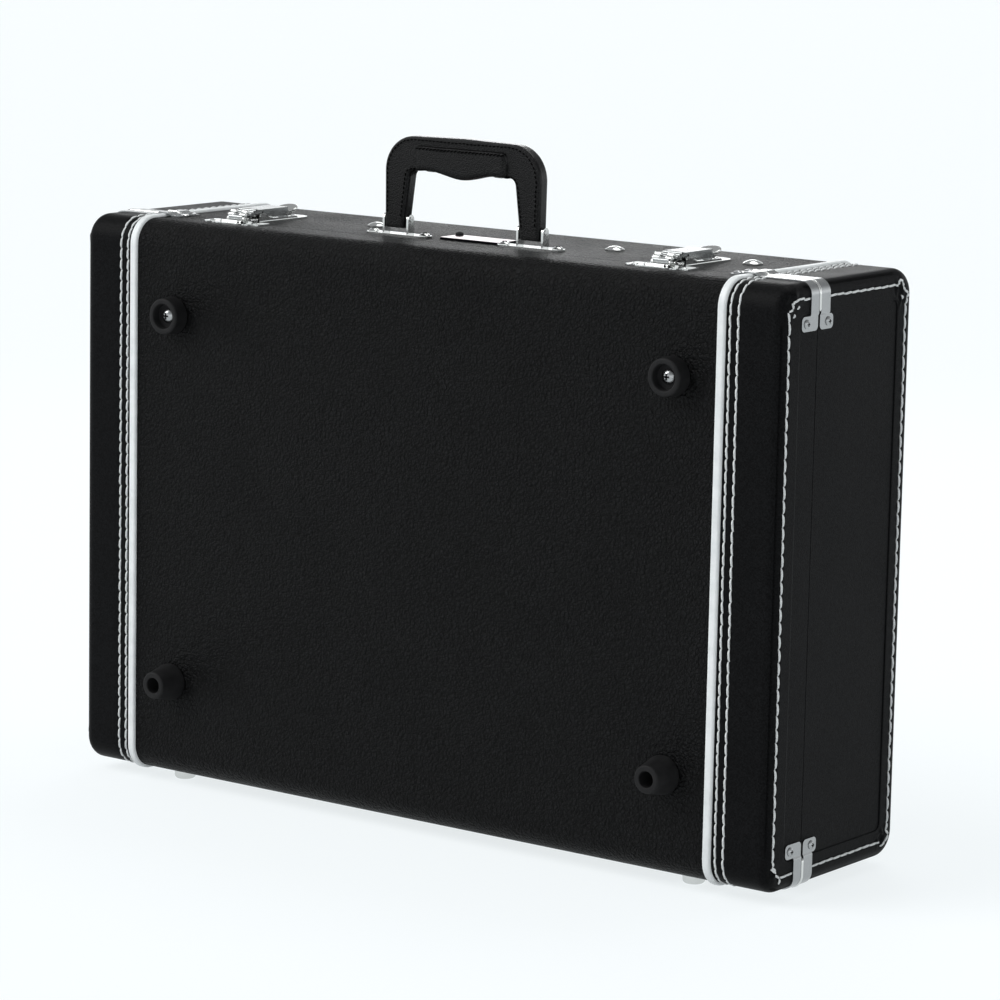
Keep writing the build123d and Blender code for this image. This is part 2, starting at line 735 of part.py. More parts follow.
def strip_outline():
    """A top right strip seen along Y: over the bead, down the end, onto its panel."""
    mid = STRIP_THICKNESS / 2
    flat = TOP_Z + mid
    crest = flat + PIPING_PROUD + STRIP_CLEARANCE
    near = PIPING_X - PIPING_WIDTH / 2 - STRIP_HOOD_GAP
    far = PIPING_X + PIPING_WIDTH / 2 + STRIP_HOOD_GAP
    step = TOP_Z - END_PANEL_INSET - STRIP_CLEARANCE
    path = [
        (STRIP_START_X, flat),
        (near - STRIP_CREST_SLOPE, flat),
        (near, crest),
        (far, crest),
        (far + STRIP_CREST_SLOPE, flat),
        (END_X + mid, flat),
        (END_X + mid, step),
        (END_PANEL_X + mid, step - STRIP_STEP_HEIGHT),
        (END_PANEL_X + mid, TOP_Z - STRIP_DROP),
    ]
    step_bend = mid + 0.1
    bends = [2.0, 1.5, 1.5, 2.0, END_EDGE_RADIUS + mid, step_bend, step_bend]
    return bent_sheet(path, bends, STRIP_THICKNESS)


def strip_tab(y0, y1):
    """The plate at a strip's lower end, against the end panel."""
    low = TOP_Z - STRIP_DROP
    return slab(
        END_PANEL_X, END_PANEL_X + STRIP_THICKNESS, y0, y1, low, low + STRIP_TAB_HEIGHT
    )


def corner_strips(half):
    """Sheet strips that guard the rim at the corners, four to a half."""
    y0 = half.from_rim(STRIP_TO_SEAM)
    y1 = half.from_rim(STRIP_TO_SEAM + half.strip_width)
    section = make_face(Plane.XZ * strip_outline())
    strip = Pos(0, max(y0, y1), 0) * extrude(section, half.strip_width, dir=(0, -1, 0))
    tab = strip_tab(y0, half.from_rim(STRIP_TO_SEAM + half.tab_width))
    tab = fillet(tab.edges().filter_by(Axis.X), 3.5)
    low = TOP_Z - STRIP_DROP
    corner = slab(END_PANEL_X - 1, END_X + 2, y0, y1, low - 1, low + 3)
    strip = (strip - corner) + tab + (strip_tab(y0, y1) - corner)
    planes = corner_screw_planes(half)
    holes = [shank_hole(p, SCREW_SHANK_RADIUS, SCREW_LENGTH) for p in planes]
    top = [strip] + mirrored_x([strip])
    strips = [s for one in top + mirrored_z(top) for s in cut(one, holes)]
    head = (CORNER_SCREW_HEAD_RADIUS, CORNER_SCREW_HEAD_HEIGHT)
    screws = [fastener(p, *head, SCREW_SHANK_RADIUS, SCREW_LENGTH) for p in planes]
    return {f"{half.name}_corner_strips": strips, f"{half.name}_corner_screws": screws}


# ---------------------------------------------------------------------------
# Handle
# ---------------------------------------------------------------------------
HANDLE_Y = SPLIT_Y + HANDLE_S
PIVOT_Z = TOP_Z + HANDLE_PIVOT


def handle_section(outline, thickness):
    """A solid with an outline in X and Z, centred on the handle's depth."""
    face = make_face(Plane.XZ * outline)
    solid = extrude(face, thickness / 2, dir=(0, 1, 0), both=True)
    return Pos(0, HANDLE_Y, 0) * solid


def arch(outer_x, foot, top, opening, leg, taper, corner, inner_corner):
    """An arch with legs that widen towards the top."""
    outer_top = TOP_Z + top
    inner_x = outer_x - leg
    points = [
        (-outer_x + 1.0, TOP_Z + foot),
        (-outer_x, outer_top - 0.8),
        (0, outer_top + 0.8),
        (outer_x, outer_top - 0.8),
        (outer_x - 1.0, TOP_Z + foot),
        (inner_x, TOP_Z + foot),
        (inner_x - taper, TOP_Z + opening),
        (-inner_x + taper, TOP_Z + opening),
        (-inner_x, TOP_Z + foot),
    ]
    radii = [1.5, corner, 80.0, corner, 1.5, 1.5, inner_corner, inner_corner, 1.5]
    return FilletPolyline(*points, radius=radii, close=True)


def handle_core():
    """The steel band inside the handle, with an eye for each pin."""
    foot_x = (HANDLE_SPAN - LEG_WIDTH) / 2
    corner_x = foot_x - CORE_SPLAY
    crest = TOP_Z + HANDLE_TOP - CORE_COVER
    foot = TOP_Z + HANDLE_PIVOT - CORE_WIDTH / 2
    path = [(-foot_x, foot), (-corner_x, crest), (corner_x, crest), (foot_x, foot)]
    bend = HANDLE_CORNER_RADIUS - CORE_COVER
    return handle_section(bent_sheet(path, [bend, bend], CORE_THICKNESS), CORE_WIDTH)


def handle_bore():
    """The room for the pins, through both legs."""
    radius = HANDLE_PIN_RADIUS + RUNNING_CLEARANCE
    return rod_x(-HANDLE_SPAN, HANDLE_SPAN, HANDLE_Y, PIVOT_Z, radius)


def handle_body(core):
    """The stitched leather arch."""
    outline = arch(
        HANDLE_SPAN / 2,
        HANDLE_FOOT,
        HANDLE_TOP - 0.8,
        HANDLE_OPENING,
        LEG_WIDTH,
        LEG_TAPER,
        HANDLE_CORNER_RADIUS,
        6.0,
    )
    body = handle_section(outline, HANDLE_THICKNESS)
    sides = body.faces().filter_by(Axis.Y)
    body = fillet(sides.edges(), HANDLE_THICKNESS * 0.27)
    return cut(body, [core, handle_bore()])


def handle_grip():
    """The padded sleeve under the hand, with finger hollows."""
    half = GRIP_LENGTH / 2
    low = TOP_Z + HANDLE_OPENING - 1.5
    wave = Spline(
        (half, low),
        (half * 0.6, low + 1.2),
        (0, low - GRIP_HUMP),
        (-half * 0.6, low + 1.2),
        (-half, low),
    )
    top = TOP_Z + GRIP_TOP
    rest = Polyline((-half, low), (-half, top), (half, top), (half, low))
    sleeve = handle_section(wave + rest, GRIP_THICKNESS)
    sleeve = fillet(sleeve.faces().filter_by(Axis.Y).edges(), 5.0)
    return sleeve


def handle_mount(side):
    """A plate with two ears that hold a leg's pin."""
    x = side * MOUNT_X
    plate = slab(
        x - MOUNT_LENGTH / 2,
        x + MOUNT_LENGTH / 2,
        HANDLE_Y - MOUNT_WIDTH / 2,
        HANDLE_Y + MOUNT_WIDTH / 2,
        TOP_Z,
        TOP_Z + MOUNT_THICKNESS,
    )
    plate = fillet(plate.edges().filter_by(Axis.Z), MOUNT_WIDTH * 0.45)
    leg_x = side * ((HANDLE_SPAN - LEG_WIDTH) / 2 - leg_lean())
    for way in (-1, 1):
        inner = leg_x + way * (LEG_WIDTH / 2 + leg_lean() + EAR_GAP)
        outer = inner + way * EAR_THICKNESS
        ear = slab(
            inner, outer, HANDLE_Y - EAR_WIDTH / 2, HANDLE_Y + EAR_WIDTH / 2, TOP_Z, PIVOT_Z
        )
        x0, x1 = min(inner, outer), max(inner, outer)
        plate = plate + ear + rod_x(x0, x1, HANDLE_Y, PIVOT_Z, EAR_WIDTH / 2)
    tools = [rod_x(-FAR, FAR, HANDLE_Y, PIVOT_Z, HANDLE_PIN_RADIUS)]
    planes = top_planes(MOUNT_SCREW_SPOTS, MOUNT_THICKNESS)
    tools += [shank_hole(p, SCREW_SHANK_RADIUS, SCREW_LENGTH) for p in planes]
    return cut(plate, tools)


def leg_lean():
    """How far a tapered leg's sides wander between its foot and its pin."""
    rise = HANDLE_PIVOT - HANDLE_FOOT
    return LEG_TAPER * rise / (HANDLE_OPENING - HANDLE_FOOT)


def handle_pins():
    """A pin through the ears of each mount."""
    leg_x = (HANDLE_SPAN - LEG_WIDTH) / 2 - leg_lean()
    reach = LEG_WIDTH / 2 + leg_lean() + EAR_GAP + EAR_THICKNESS + 0.6
    pin = rod_x(leg_x - reach, leg_x + reach, HANDLE_Y, PIVOT_Z, HANDLE_PIN_RADIUS)
    return {"handle_pins": [pin] + mirrored_x([pin])}


def handle():
    """The handle's own parts, its mounts, their screws and the pins."""
    core = handle_core()
    body = handle_body(core)
    grip = handle_grip()
    for solid in body:
        grip = grip - solid
    planes = top_planes(MOUNT_SCREW_SPOTS, MOUNT_THICKNESS)
    head = (MOUNT_SCREW_HEAD_RADIUS, MOUNT_SCREW_HEAD_HEIGHT)
    screws = [fastener(p, *head, SCREW_SHANK_RADIUS, SCREW_LENGTH) for p in planes]
    parts = {
        "handle_core": cut(core, [handle_bore()]),
        "handle_body": body,
        "handle_grip": cut(grip, [core]),
        "handle_mount_screws": screws,
    }
    parts.update({f"handle_mount_{name}": handle_mount(side) for name, side in SIDES.items()})
    parts.update(handle_pins())
    return parts


# ---------------------------------------------------------------------------
# Latches
# ---------------------------------------------------------------------------


def latch_profile(points, u0, u1, radius=None):
    """A solid with an outline in depth and height, spanning u0 to u1."""
    placed = [(SPLIT_Y + s, TOP_Z + h) for s, h in points]
    if radius is None:
        outline = Polyline(*placed, close=True)
    else:
        outline = FilletPolyline(*placed, radius=radius, close=True)
    return extruded_yz(outline, u0, u1)


def latch_rod(s, h, u0, u1, radius):
    """A round bar across a latch, at a depth and a height."""
    return rod_x(u0, u1, SPLIT_Y + s, TOP_Z + h, radius)


def latch_plate():
    """The lid's plate, with a rounded tail and two pivot flanges."""
    half = LATCH_PLATE_HALF
    plate = slab(
        -half,
        half,
        SPLIT_Y + LATCH_PLATE_START,
        SPLIT_Y + LATCH_PLATE_END,
        TOP_Z,
        TOP_Z + SHEET,
    )
    tail = plate.edges().filter_by(Axis.Z).sort_by(Axis.Y)[-2:]
    plate = fillet(tail, half * 0.8)
    inner = CLAW_HALF + 0.5
    flange = [
        (LATCH_PLATE_START, 0),
        (LATCH_PLATE_START, LEVER_PIVOT_H + 2.2),
        (LEVER_PIVOT_S + 4.5, LEVER_PIVOT_H + 2.2),
        (LEVER_PIVOT_S + 12, SHEET + 1.6),
        (CLAW_PIVOT_S + 8, SHEET + 1.6),
        (CLAW_PIVOT_S + 10, 0),
    ]
    radii = [0, 2.0, 2.0, 3.0, 1.2, 0]
    side = latch_profile(flange, inner, inner + SHEET, radii)
    plate = plate + side + mirrored_x([side])[0]
    return plate - latch_rod(LEVER_PIVOT_S, LEVER_PIVOT_H, -FAR, FAR, LATCH_PIN_RADIUS)


def lever():
    """The flat lever, from its front eye to the raised finger tab."""
    low = SHEET + 1.4
    thick = 2.2
    tab_h = LEVER_TAB_RISE
    bar = latch_profile(
        [
            (LEVER_PIVOT_S, LEVER_PIVOT_H - LEVER_EYE_RADIUS),
            (LEVER_PIVOT_S + 6, low),
            (CLAW_PIVOT_S + 7, low),
            (LEVER_TAB_S + 6, tab_h - thick),
            (LEVER_TAB_S + 6, tab_h),
            (CLAW_PIVOT_S + 4.5, low + thick + 1.2),
            (CLAW_PIVOT_S, CLAW_PIVOT_H + LATCH_PIN_RADIUS + 1.2),
            (CLAW_PIVOT_S - 5, low + thick + 1.0),
            (LEVER_PIVOT_S + 4, low + thick + 1.0),
            (LEVER_PIVOT_S, LEVER_PIVOT_H + LEVER_EYE_RADIUS),
        ],
        -LEVER_HALF,
        LEVER_HALF,
    )
    bar = bar + latch_rod(LEVER_PIVOT_S, LEVER_PIVOT_H, -LEVER_HALF, LEVER_HALF, LEVER_EYE_RADIUS)
    bar = bar & slab(-FAR, FAR, -FAR, SPLIT_Y + LEVER_TAB_S, -FAR, FAR)
    slope = (tab_h - thick - low) / (LEVER_TAB_S - 1 - CLAW_PIVOT_S)
    tab_face = Plane(
        origin=(0, SPLIT_Y + LEVER_TAB_S, TOP_Z + tab_h - thick - slope * 4),
        x_dir=(1, 0, 0),
        z_dir=(0, -0.3, 1),
    )
    tab = extrude(tab_face * Ellipse(LEVER_TAB_RADIUS, LEVER_TAB_RADIUS * 0.85), thick)
    tab = fillet(tab.edges(), 0.8)
    pivot = LATCH_PIN_RADIUS + RUNNING_CLEARANCE
    whole = bar + tab
    whole = whole - latch_rod(LEVER_PIVOT_S, LEVER_PIVOT_H, -FAR, FAR, pivot)
    return whole - latch_rod(CLAW_PIVOT_S, CLAW_PIVOT_H, -FAR, FAR, LATCH_PIN_RADIUS)


def claw_ridges():
    """Bars across the claw's sloping nose."""
    bars = []
    for i in range(CLAW_RIDGES):
        along = (i + 0.5) / CLAW_RIDGES
        s = LEVER_PIVOT_S - 0.8 - along * (CLAW_SLOPE - 2)
        h = CLAW_TOP - 0.2 - along * CLAW_SLOPE_DROP
        bars.append(latch_rod(s, h, -CLAW_HALF + 1.5, CLAW_HALF - 1.5, 1.3))
    return bars


def claw():
    """The cover that swings on the lever and hooks the base's catch."""
    under = CLAW_TOP - SHEET
    tongue_top = CATCH_LIP_TOP + HOOK_GAP + 1.8
    tongue_low = CATCH_LIP_TOP + HOOK_GAP
    nose = LEVER_PIVOT_S - CLAW_SLOPE
    back = CLAW_PIVOT_S + 3.2
    top = latch_profile(
        [
            (back - 4, under),
            (back - 4, CLAW_TOP),
            (LEVER_PIVOT_S, CLAW_TOP),
            (nose, tongue_top),
            (nose - 2, tongue_top),
            (nose - 2, tongue_low),
            (nose + 0.5, tongue_low),
            (LEVER_PIVOT_S, under),
        ],
        -CLAW_HALF,
        CLAW_HALF,
    )
    tongue = latch_profile(
        [
            (nose, tongue_top),
            (HOOK_S, tongue_top),
            (HOOK_S, SHEET + 0.8),
            (HOOK_S + HOOK_THICKNESS, SHEET + 0.8),
            (HOOK_S + HOOK_THICKNESS, tongue_low),
            (nose, tongue_low),
        ],
        -CLAW_TONGUE_HALF,
        CLAW_TONGUE_HALF,
        [0, 1.6, 0.6, 0.6, 0.4, 0],
    )
    inner = LEVER_HALF + CLAW_FLANGE_GAP
    flange = latch_profile(
        [
            (LEVER_PIVOT_S + 6, under + 0.5),
            (LEVER_PIVOT_S + 6, under - 2.0),
            (CLAW_PIVOT_S - 9, CLAW_PIVOT_H - 2.4),
            (CLAW_PIVOT_S, CLAW_PIVOT_H - 3.0),
            (back, CLAW_PIVOT_H),
            (back - 4, under + 0.5),
        ],
        inner,
        inner + SHEET,
        [0, 1.0, 2.0, 2.6, 2.0, 0],
    )
    whole = top + tongue + flange + mirrored_x([flange])[0]
    for bar in claw_ridges():
        whole = whole + bar
    pin = LATCH_PIN_RADIUS + RUNNING_CLEARANCE
    return whole - latch_rod(CLAW_PIVOT_S, CLAW_PIVOT_H, -FAR, FAR, pin)


def catch():
    """The base's keeper: a plate bent over the front edge, with a hook lip."""
    mid = SHEET / 2
    bend = LONG_EDGE_RADIUS + mid
    turn = radians(CATCH_WRAP_DEG)
    corner = Vector(LONG_EDGE_RADIUS - BASE_DEPTH - bend * tan(turn / 2), mid)
    tail = corner + Vector(-cos(turn), -sin(turn)) * (bend * tan(turn / 2) + 0.5)
    path = [(CATCH_END, mid), (corner.X, corner.Y), (tail.X, tail.Y)]
    placed = [(SPLIT_Y + s, TOP_Z + h) for s, h in path]
    plane = Plane(origin=(0, 0, 0), x_dir=(0, 1, 0), z_dir=(1, 0, 0))
    section = make_face(plane * bent_sheet(placed, [bend], SHEET))
    plate = extrude(section, CATCH_HALF, dir=(1, 0, 0), both=True)
    lip_s = HOOK_S + HOOK_THICKNESS + HOOK_GAP
    apron_half = CATCH_LIP_HALF + 5
    apron_y = SPLIT_Y + CATCH_SCREW_S - 7.2
    for way in (-1, 1):
        beside = slab(way * apron_half, way * FAR, -FAR, apron_y, TOP_Z - 20, TOP_Z + 20)
        plate = plate - beside
    plate = fillet(plate.edges().filter_by(Axis.Z), 2.5)
    lip = latch_profile(
        [
            (lip_s, 0.5),
            (lip_s, CATCH_LIP_TOP),
            (lip_s + 2.4, CATCH_LIP_TOP),
            (lip_s + 5.0, SHEET),
            (lip_s + 5.0, 0.5),
        ],
        -CATCH_LIP_HALF,
        CATCH_LIP_HALF,
        [0, 0.8, 1.2, 1.0, 0],
    )
    return plate + lip


def latches():
    """Both latches, each part moved out to its place."""
    parts = {}
    plate_rivets = top_planes(LATCH_RIVET_SPOTS, SHEET)
    plate_holes = [shank_hole(p, RIVET_SHANK_RADIUS, SCREW_LENGTH) for p in plate_rivets]
    catch_screws = top_planes(CATCH_SCREW_SPOTS, SHEET)
    catch_holes = [shank_hole(p, RIVET_SHANK_RADIUS, SCREW_LENGTH) for p in catch_screws]
    flange_out = CLAW_HALF + 0.5 + SHEET + 0.5
    claw_out = LEVER_HALF + CLAW_FLANGE_GAP + SHEET + 0.4
    pivot = latch_rod(LEVER_PIVOT_S, LEVER_PIVOT_H, -flange_out, flange_out, LATCH_PIN_RADIUS)
    claw_pin = latch_rod(CLAW_PIVOT_S, CLAW_PIVOT_H, -claw_out, claw_out, LATCH_PIN_RADIUS)
    for name, side in SIDES.items():
        place = Pos(side * LATCH_X, 0, 0)
        parts[f"latch_plate_{name}"] = cut(place * latch_plate(), plate_holes)
        parts[f"latch_lever_{name}"] = solids_of(place * lever())
        parts[f"latch_claw_{name}"] = solids_of(place * claw())
        parts[f"latch_claw_pin_{name}"] = [place * claw_pin]
        parts[f"latch_catch_{name}"] = cut(place * catch(), catch_holes)
        parts.setdefault("latch_pivot_pins", []).append(place * pivot)
    parts.update(rivets("latch_plate_rivets", plate_rivets))
    parts.update(rivets("catch_screws", catch_screws))
    return parts


# ---------------------------------------------------------------------------
# The whole case
# ---------------------------------------------------------------------------


def build():
    """Every node's name and its solids."""
    parts = {}
    for half, holes in ((BASE, base_holes()), (LID, lid_holes())):
        parts.update(wooden_walls(half, holes))
        parts.update(coverings(half, holes))
        parts.update(piping(half))
        parts.update(lining(half))
        parts.update(corner_strips(half))
        parts.update(hinge_leaves(half))
        leaf_rivets = bottom_planes(hinge_rivet_spots(half), HINGE_LEAF_THICKNESS)
        parts.update(rivets(f"{half.name}_hinge_rivets", leaf_rivets))
    parts.update(glides(BASE, BASE_GLIDE_S))
    parts.update(glides(LID, LID_GLIDE_S))
    parts.update(hinge_pins())
    parts.update(base_lip())
    parts.update(pedal_deck())
    parts.update(lid_foam())
    parts.update(short_feet())
    parts.update(tall_feet())
    parts.update(foot_screws())
    parts.update(lid_studs())
    parts.update(name_plate())
    parts.update(handle())
    parts.update(latches())
    return parts


def main():
    """Writes each node to its own file."""
    os.makedirs("parts", exist_ok=True)
    for name, solids in build().items():
        shape = solids[0] if len(solids) == 1 else Compound(children=solids)
        export_step(shape, f"parts/{name}.step")


main()
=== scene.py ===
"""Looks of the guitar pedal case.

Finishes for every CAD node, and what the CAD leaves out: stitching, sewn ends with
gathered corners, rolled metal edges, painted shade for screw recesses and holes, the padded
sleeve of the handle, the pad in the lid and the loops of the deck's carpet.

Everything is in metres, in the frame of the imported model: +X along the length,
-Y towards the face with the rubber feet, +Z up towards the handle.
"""

import math

import bmesh
import bpy
import numpy as np
from mathutils import Matrix, Vector
from mathutils.bvhtree import BVHTree


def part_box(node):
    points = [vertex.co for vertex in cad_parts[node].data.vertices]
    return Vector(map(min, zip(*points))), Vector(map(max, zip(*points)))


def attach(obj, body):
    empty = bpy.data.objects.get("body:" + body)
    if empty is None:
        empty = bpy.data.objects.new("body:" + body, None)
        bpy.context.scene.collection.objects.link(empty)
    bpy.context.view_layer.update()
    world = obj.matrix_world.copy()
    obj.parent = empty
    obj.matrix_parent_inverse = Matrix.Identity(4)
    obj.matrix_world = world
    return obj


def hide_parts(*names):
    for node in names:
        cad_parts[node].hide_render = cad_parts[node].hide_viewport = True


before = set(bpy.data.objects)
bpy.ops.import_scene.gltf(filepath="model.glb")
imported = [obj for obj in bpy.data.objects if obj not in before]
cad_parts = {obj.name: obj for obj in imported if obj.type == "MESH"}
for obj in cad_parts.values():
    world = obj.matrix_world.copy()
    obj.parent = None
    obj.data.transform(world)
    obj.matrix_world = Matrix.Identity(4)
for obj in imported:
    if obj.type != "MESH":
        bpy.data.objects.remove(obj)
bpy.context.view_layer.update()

# ---------- Sizes read from the frame ----------
MM = 0.001
COVER_LOW, COVER_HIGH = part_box("base_cover")
LID_LOW, LID_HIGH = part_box("lid_cover")
END_LOW, END_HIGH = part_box("base_end_cover_right")
PANEL_LOW, PANEL_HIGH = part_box("base_end_panel_right")
FRONT_Y = COVER_LOW.y
BACK_Y = LID_HIGH.y
BOTTOM_Z = COVER_LOW.z
TOP_Z = COVER_HIGH.z
MID_Z = (TOP_Z + BOTTOM_Z) / 2
END_X = END_HIGH.x
COVER_X = END_LOW.x  # where an end cover meets the piping
PANEL_X = PANEL_HIGH.x  # the sunk panel's face
WOOD_X = PANEL_LOW.x
PANEL_INSET = PANEL_LOW.z - BOTTOM_Z
INSIDE_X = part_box("base_lining")[1].x
LID_WALL = TOP_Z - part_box("lid_lining")[1].z
STRIP_SEAM_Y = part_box("lid_corner_strips")[0].y

# ---------- Sizes of what is made here ----------
# End covers
LONG_EDGE_RADIUS = 20 * MM
END_EDGE_RADIUS = 9 * MM
SKIN = 1.0 * MM
COVER_GAP = 0.05 * MM  # between an end cover and the piping
BORDER_RADIUS = 6 * MM  # corner radius of the sunk panel
BORDER_LIP = 0.5 * MM
BASE_STRIP_REACH = 11.5 * MM  # how far a corner strip reaches from its half's rim
LID_STRIP_REACH = 13.0 * MM
# Grid of an end cover
SIDE_STEP = 1.6 * MM
ARC_STEPS = 30
FACE_STEPS = 260
FINE_STEP = 0.7 * MM

# Stitching
THREAD_RADIUS = 0.86 * MM
ROW_XS = (288 * MM, 295 * MM)  # the two rows beside the piping
ROW_PITCH = 8.7 * MM
END_ROW_PITCH = 9.8 * MM
GROOVE_WIDTH = 1.5 * MM
GROOVE_DEPTH = 0.4 * MM
THREAD_SINK = 0.6 * GROOVE_DEPTH
HOLE_DEPTH = 0.35 * MM
STITCH_LEAN = 0.06
# How far the end row lies inside the front, the back, the top and the bottom
END_ROW_FRONT = 7.6 * MM
END_ROW_BACK = 11.8 * MM
END_ROW_TOP = 11.3 * MM
END_ROW_BOTTOM = 13.0 * MM
CORNER_REACH = 26 * MM  # a corner's own stitches lie within this of both sides
# Each corner's own stitches on an end face, as points (in from the front or back,
# in from the top or bottom), in millimetres. A gap in the thread starts a new run.
CORNERS = {
    ("base", "top"): [
        [(7.4, 26.5), (5.8, 18.6)],
        [(5.8, 18.6), (11.6, 17.5)],
        [(11.4, 17.3), (10.6, 13.6), (13.0, 12.2)],
        [(13.0, 12.2), (19.4, 10.6), (26.5, 10.4)],
        [(19.6, 15.2), (16.8, 17.6)],
        [(14.0, 20.8), (12.0, 23.4)],
    ],
    ("lid", "top"): [
        [(26.5, 11.4), (23.4, 12.2)],
        [(23.0, 11.6), (22.0, 9.0), (19.4, 7.6)],
        [(19.4, 7.6), (16.9, 10.0), (16.1, 13.4)],
        [(16.1, 13.4), (13.4, 16.0), (8.6, 18.6)],
        [(8.6, 18.6), (10.2, 21.6), (11.4, 26.5)],
        [(17.6, 19.4), (16.4, 22.6)],
    ],
    ("base", "bottom"): [
        [(7.2, 26.5), (8.0, 22.2), (6.6, 20.6)],
        [(6.6, 20.6), (9.4, 21.4), (10.4, 17.4)],
        [(6.6, 20.6), (12.2, 16.6)],
        [(9.8, 16.2), (16.8, 12.4)],
        [(16.8, 12.4), (16.2, 7.8)],
        [(17.4, 12.6), (26.5, 12.6)],
    ],
    ("lid", "bottom"): [
        [(12.0, 26.5), (13.6, 20.8)],
        [(13.6, 20.8), (9.6, 16.8)],
        [(9.6, 16.8), (14.4, 11.8), (20.4, 9.4)],
        [(22.4, 13.2), (26.5, 13.0)],
    ],
}
# Where the leather is gathered at each corner: the middle of its hollow and how far
# the hollow reaches each way, in millimetres
GATHERS = {
    ("base", "top"): (7.2, 10.4, 6.8, 5.6),
    ("lid", "top"): (20.6, 17.2, 3.4, 5.2),
    ("base", "bottom"): (4.6, 18.2, 4.6, 4.4),
    ("lid", "bottom"): (20.3, 15.9, 3.6, 3.4),
}

# Metal details
RIB_RADIUS = 1.2 * MM
RIB_XS = np.arange(264.6, 324.6, 1.5) * MM  # a rib's points along the top
RIB_ZS = np.arange(444.0, 433.0, -1.5) * MM  # and down the end
RAY_START = 20 * MM  # how far outside a surface the rays start that look for it
CATCH_LIP = (-50.0 * MM, 457.2 * MM)  # its Y and Z
CATCH_LIP_RADIUS = 1.5 * MM
CATCH_LIP_HALF = 12 * MM
# Where two near-black plugs paint the shade of the catch's holes, out from its middle
CATCH_HOLES = (7.6 * MM, 11.4 * MM)
# What is cut off the front of a catch's plate, from its middle outwards, in millimetres
CATCH_CUT = [
    (6.0, -53.0), (12.4, -53.4), (13.6, -54.2), (15.0, -53.8), (16.8, -54.2), (19.0, -53.4),
    (20.4, -51.2), (21.8, -51.0), (23.4, -52.4), (25.6, -52.6), (27.6, -51.4), (30.0, -49.5), (30.0, -70),
]
# The rolled bars of a claw's nose: Y, Z and radius
NOSE_BARS = [
    (-44.4 * MM, 459.3 * MM, 1.6 * MM),
    (-43.2 * MM, 462.1 * MM, 1.5 * MM),
    (-40.4 * MM, 464.3 * MM, 1.5 * MM),
]
PLATE_RIVET_INSET = 5 * MM
# The name plate's rivet: height and radius, in millimetres
PLATE_RIVET = [(-0.1, 3.2), (0.9, 3.3), (1.8, 2.9), (2.4, 2.0), (2.7, 0.9)]

# Handle
OPENING_Z = 488 * MM  # the middle of the handle's opening
GRIP_Z = 515 * MM
SLEEVE_SIDES = 48
SLEEVE_ROW_Z = 524.3 * MM
SLEEVE_ROW_PITCH = 3.4 * MM
HANDLE_ROW_INSET = 3.4 * MM
HANDLE_ROW_PITCH = 3.6 * MM
BLACK_THREAD_RADIUS = 0.5 * MM
BLACK_THREAD_SHARE = 0.8  # of its pitch that a stitch fills

# Inside
PAD_VOXEL = 6 * MM
PAD_PRESSURE = 4
PAD_FRAMES = 20
PAD_START = (0.985, 0.6, 0.975)  # the share of its final size that the pad swells from
PAD_CORNER = 14 * MM
CORD_RADIUS = 1.7 * MM
LOOP_PITCH = 3.4 * MM
# The pad's buttons, as shares of its half length and half height
TUFTS = [(u, v) for u in (-0.66, -0.22, 0.22, 0.66) for v in (-0.5, 0.5)]

# Camera: where it stands, which way it looks and how it is tilted
CAMERA_PLACE = (1.94639, -2.57259, 0.80871)
CAMERA_AZIMUTH = 36.718
CAMERA_ELEVATION = -9.776
CAMERA_ROLL = -1.135
CAMERA_LENS = 151.72
SENSOR_WIDTH = 36.0

# Light: the sun's place, strength and spread in degrees, and each lamp's name, place,
# target, size in metres and power in watts
SUN = ((-1.6, -1.5, 2.1), 1.6, 40)
LAMPS = [
    ("top", (0.1, 0.9, 2.3), (0, 0, 0.4), (1.6, 0.8), 12),
    ("edge", (-1.95, -2.1, 1.75), (0, -0.07, 0.45), (0.9, 0.3), 9),
    ("rim", (-1.2, 1.9, 1.15), (0.15, 0, 0.45), (0.8, 0.35), 4),
]
FLOOR_HALF = 40


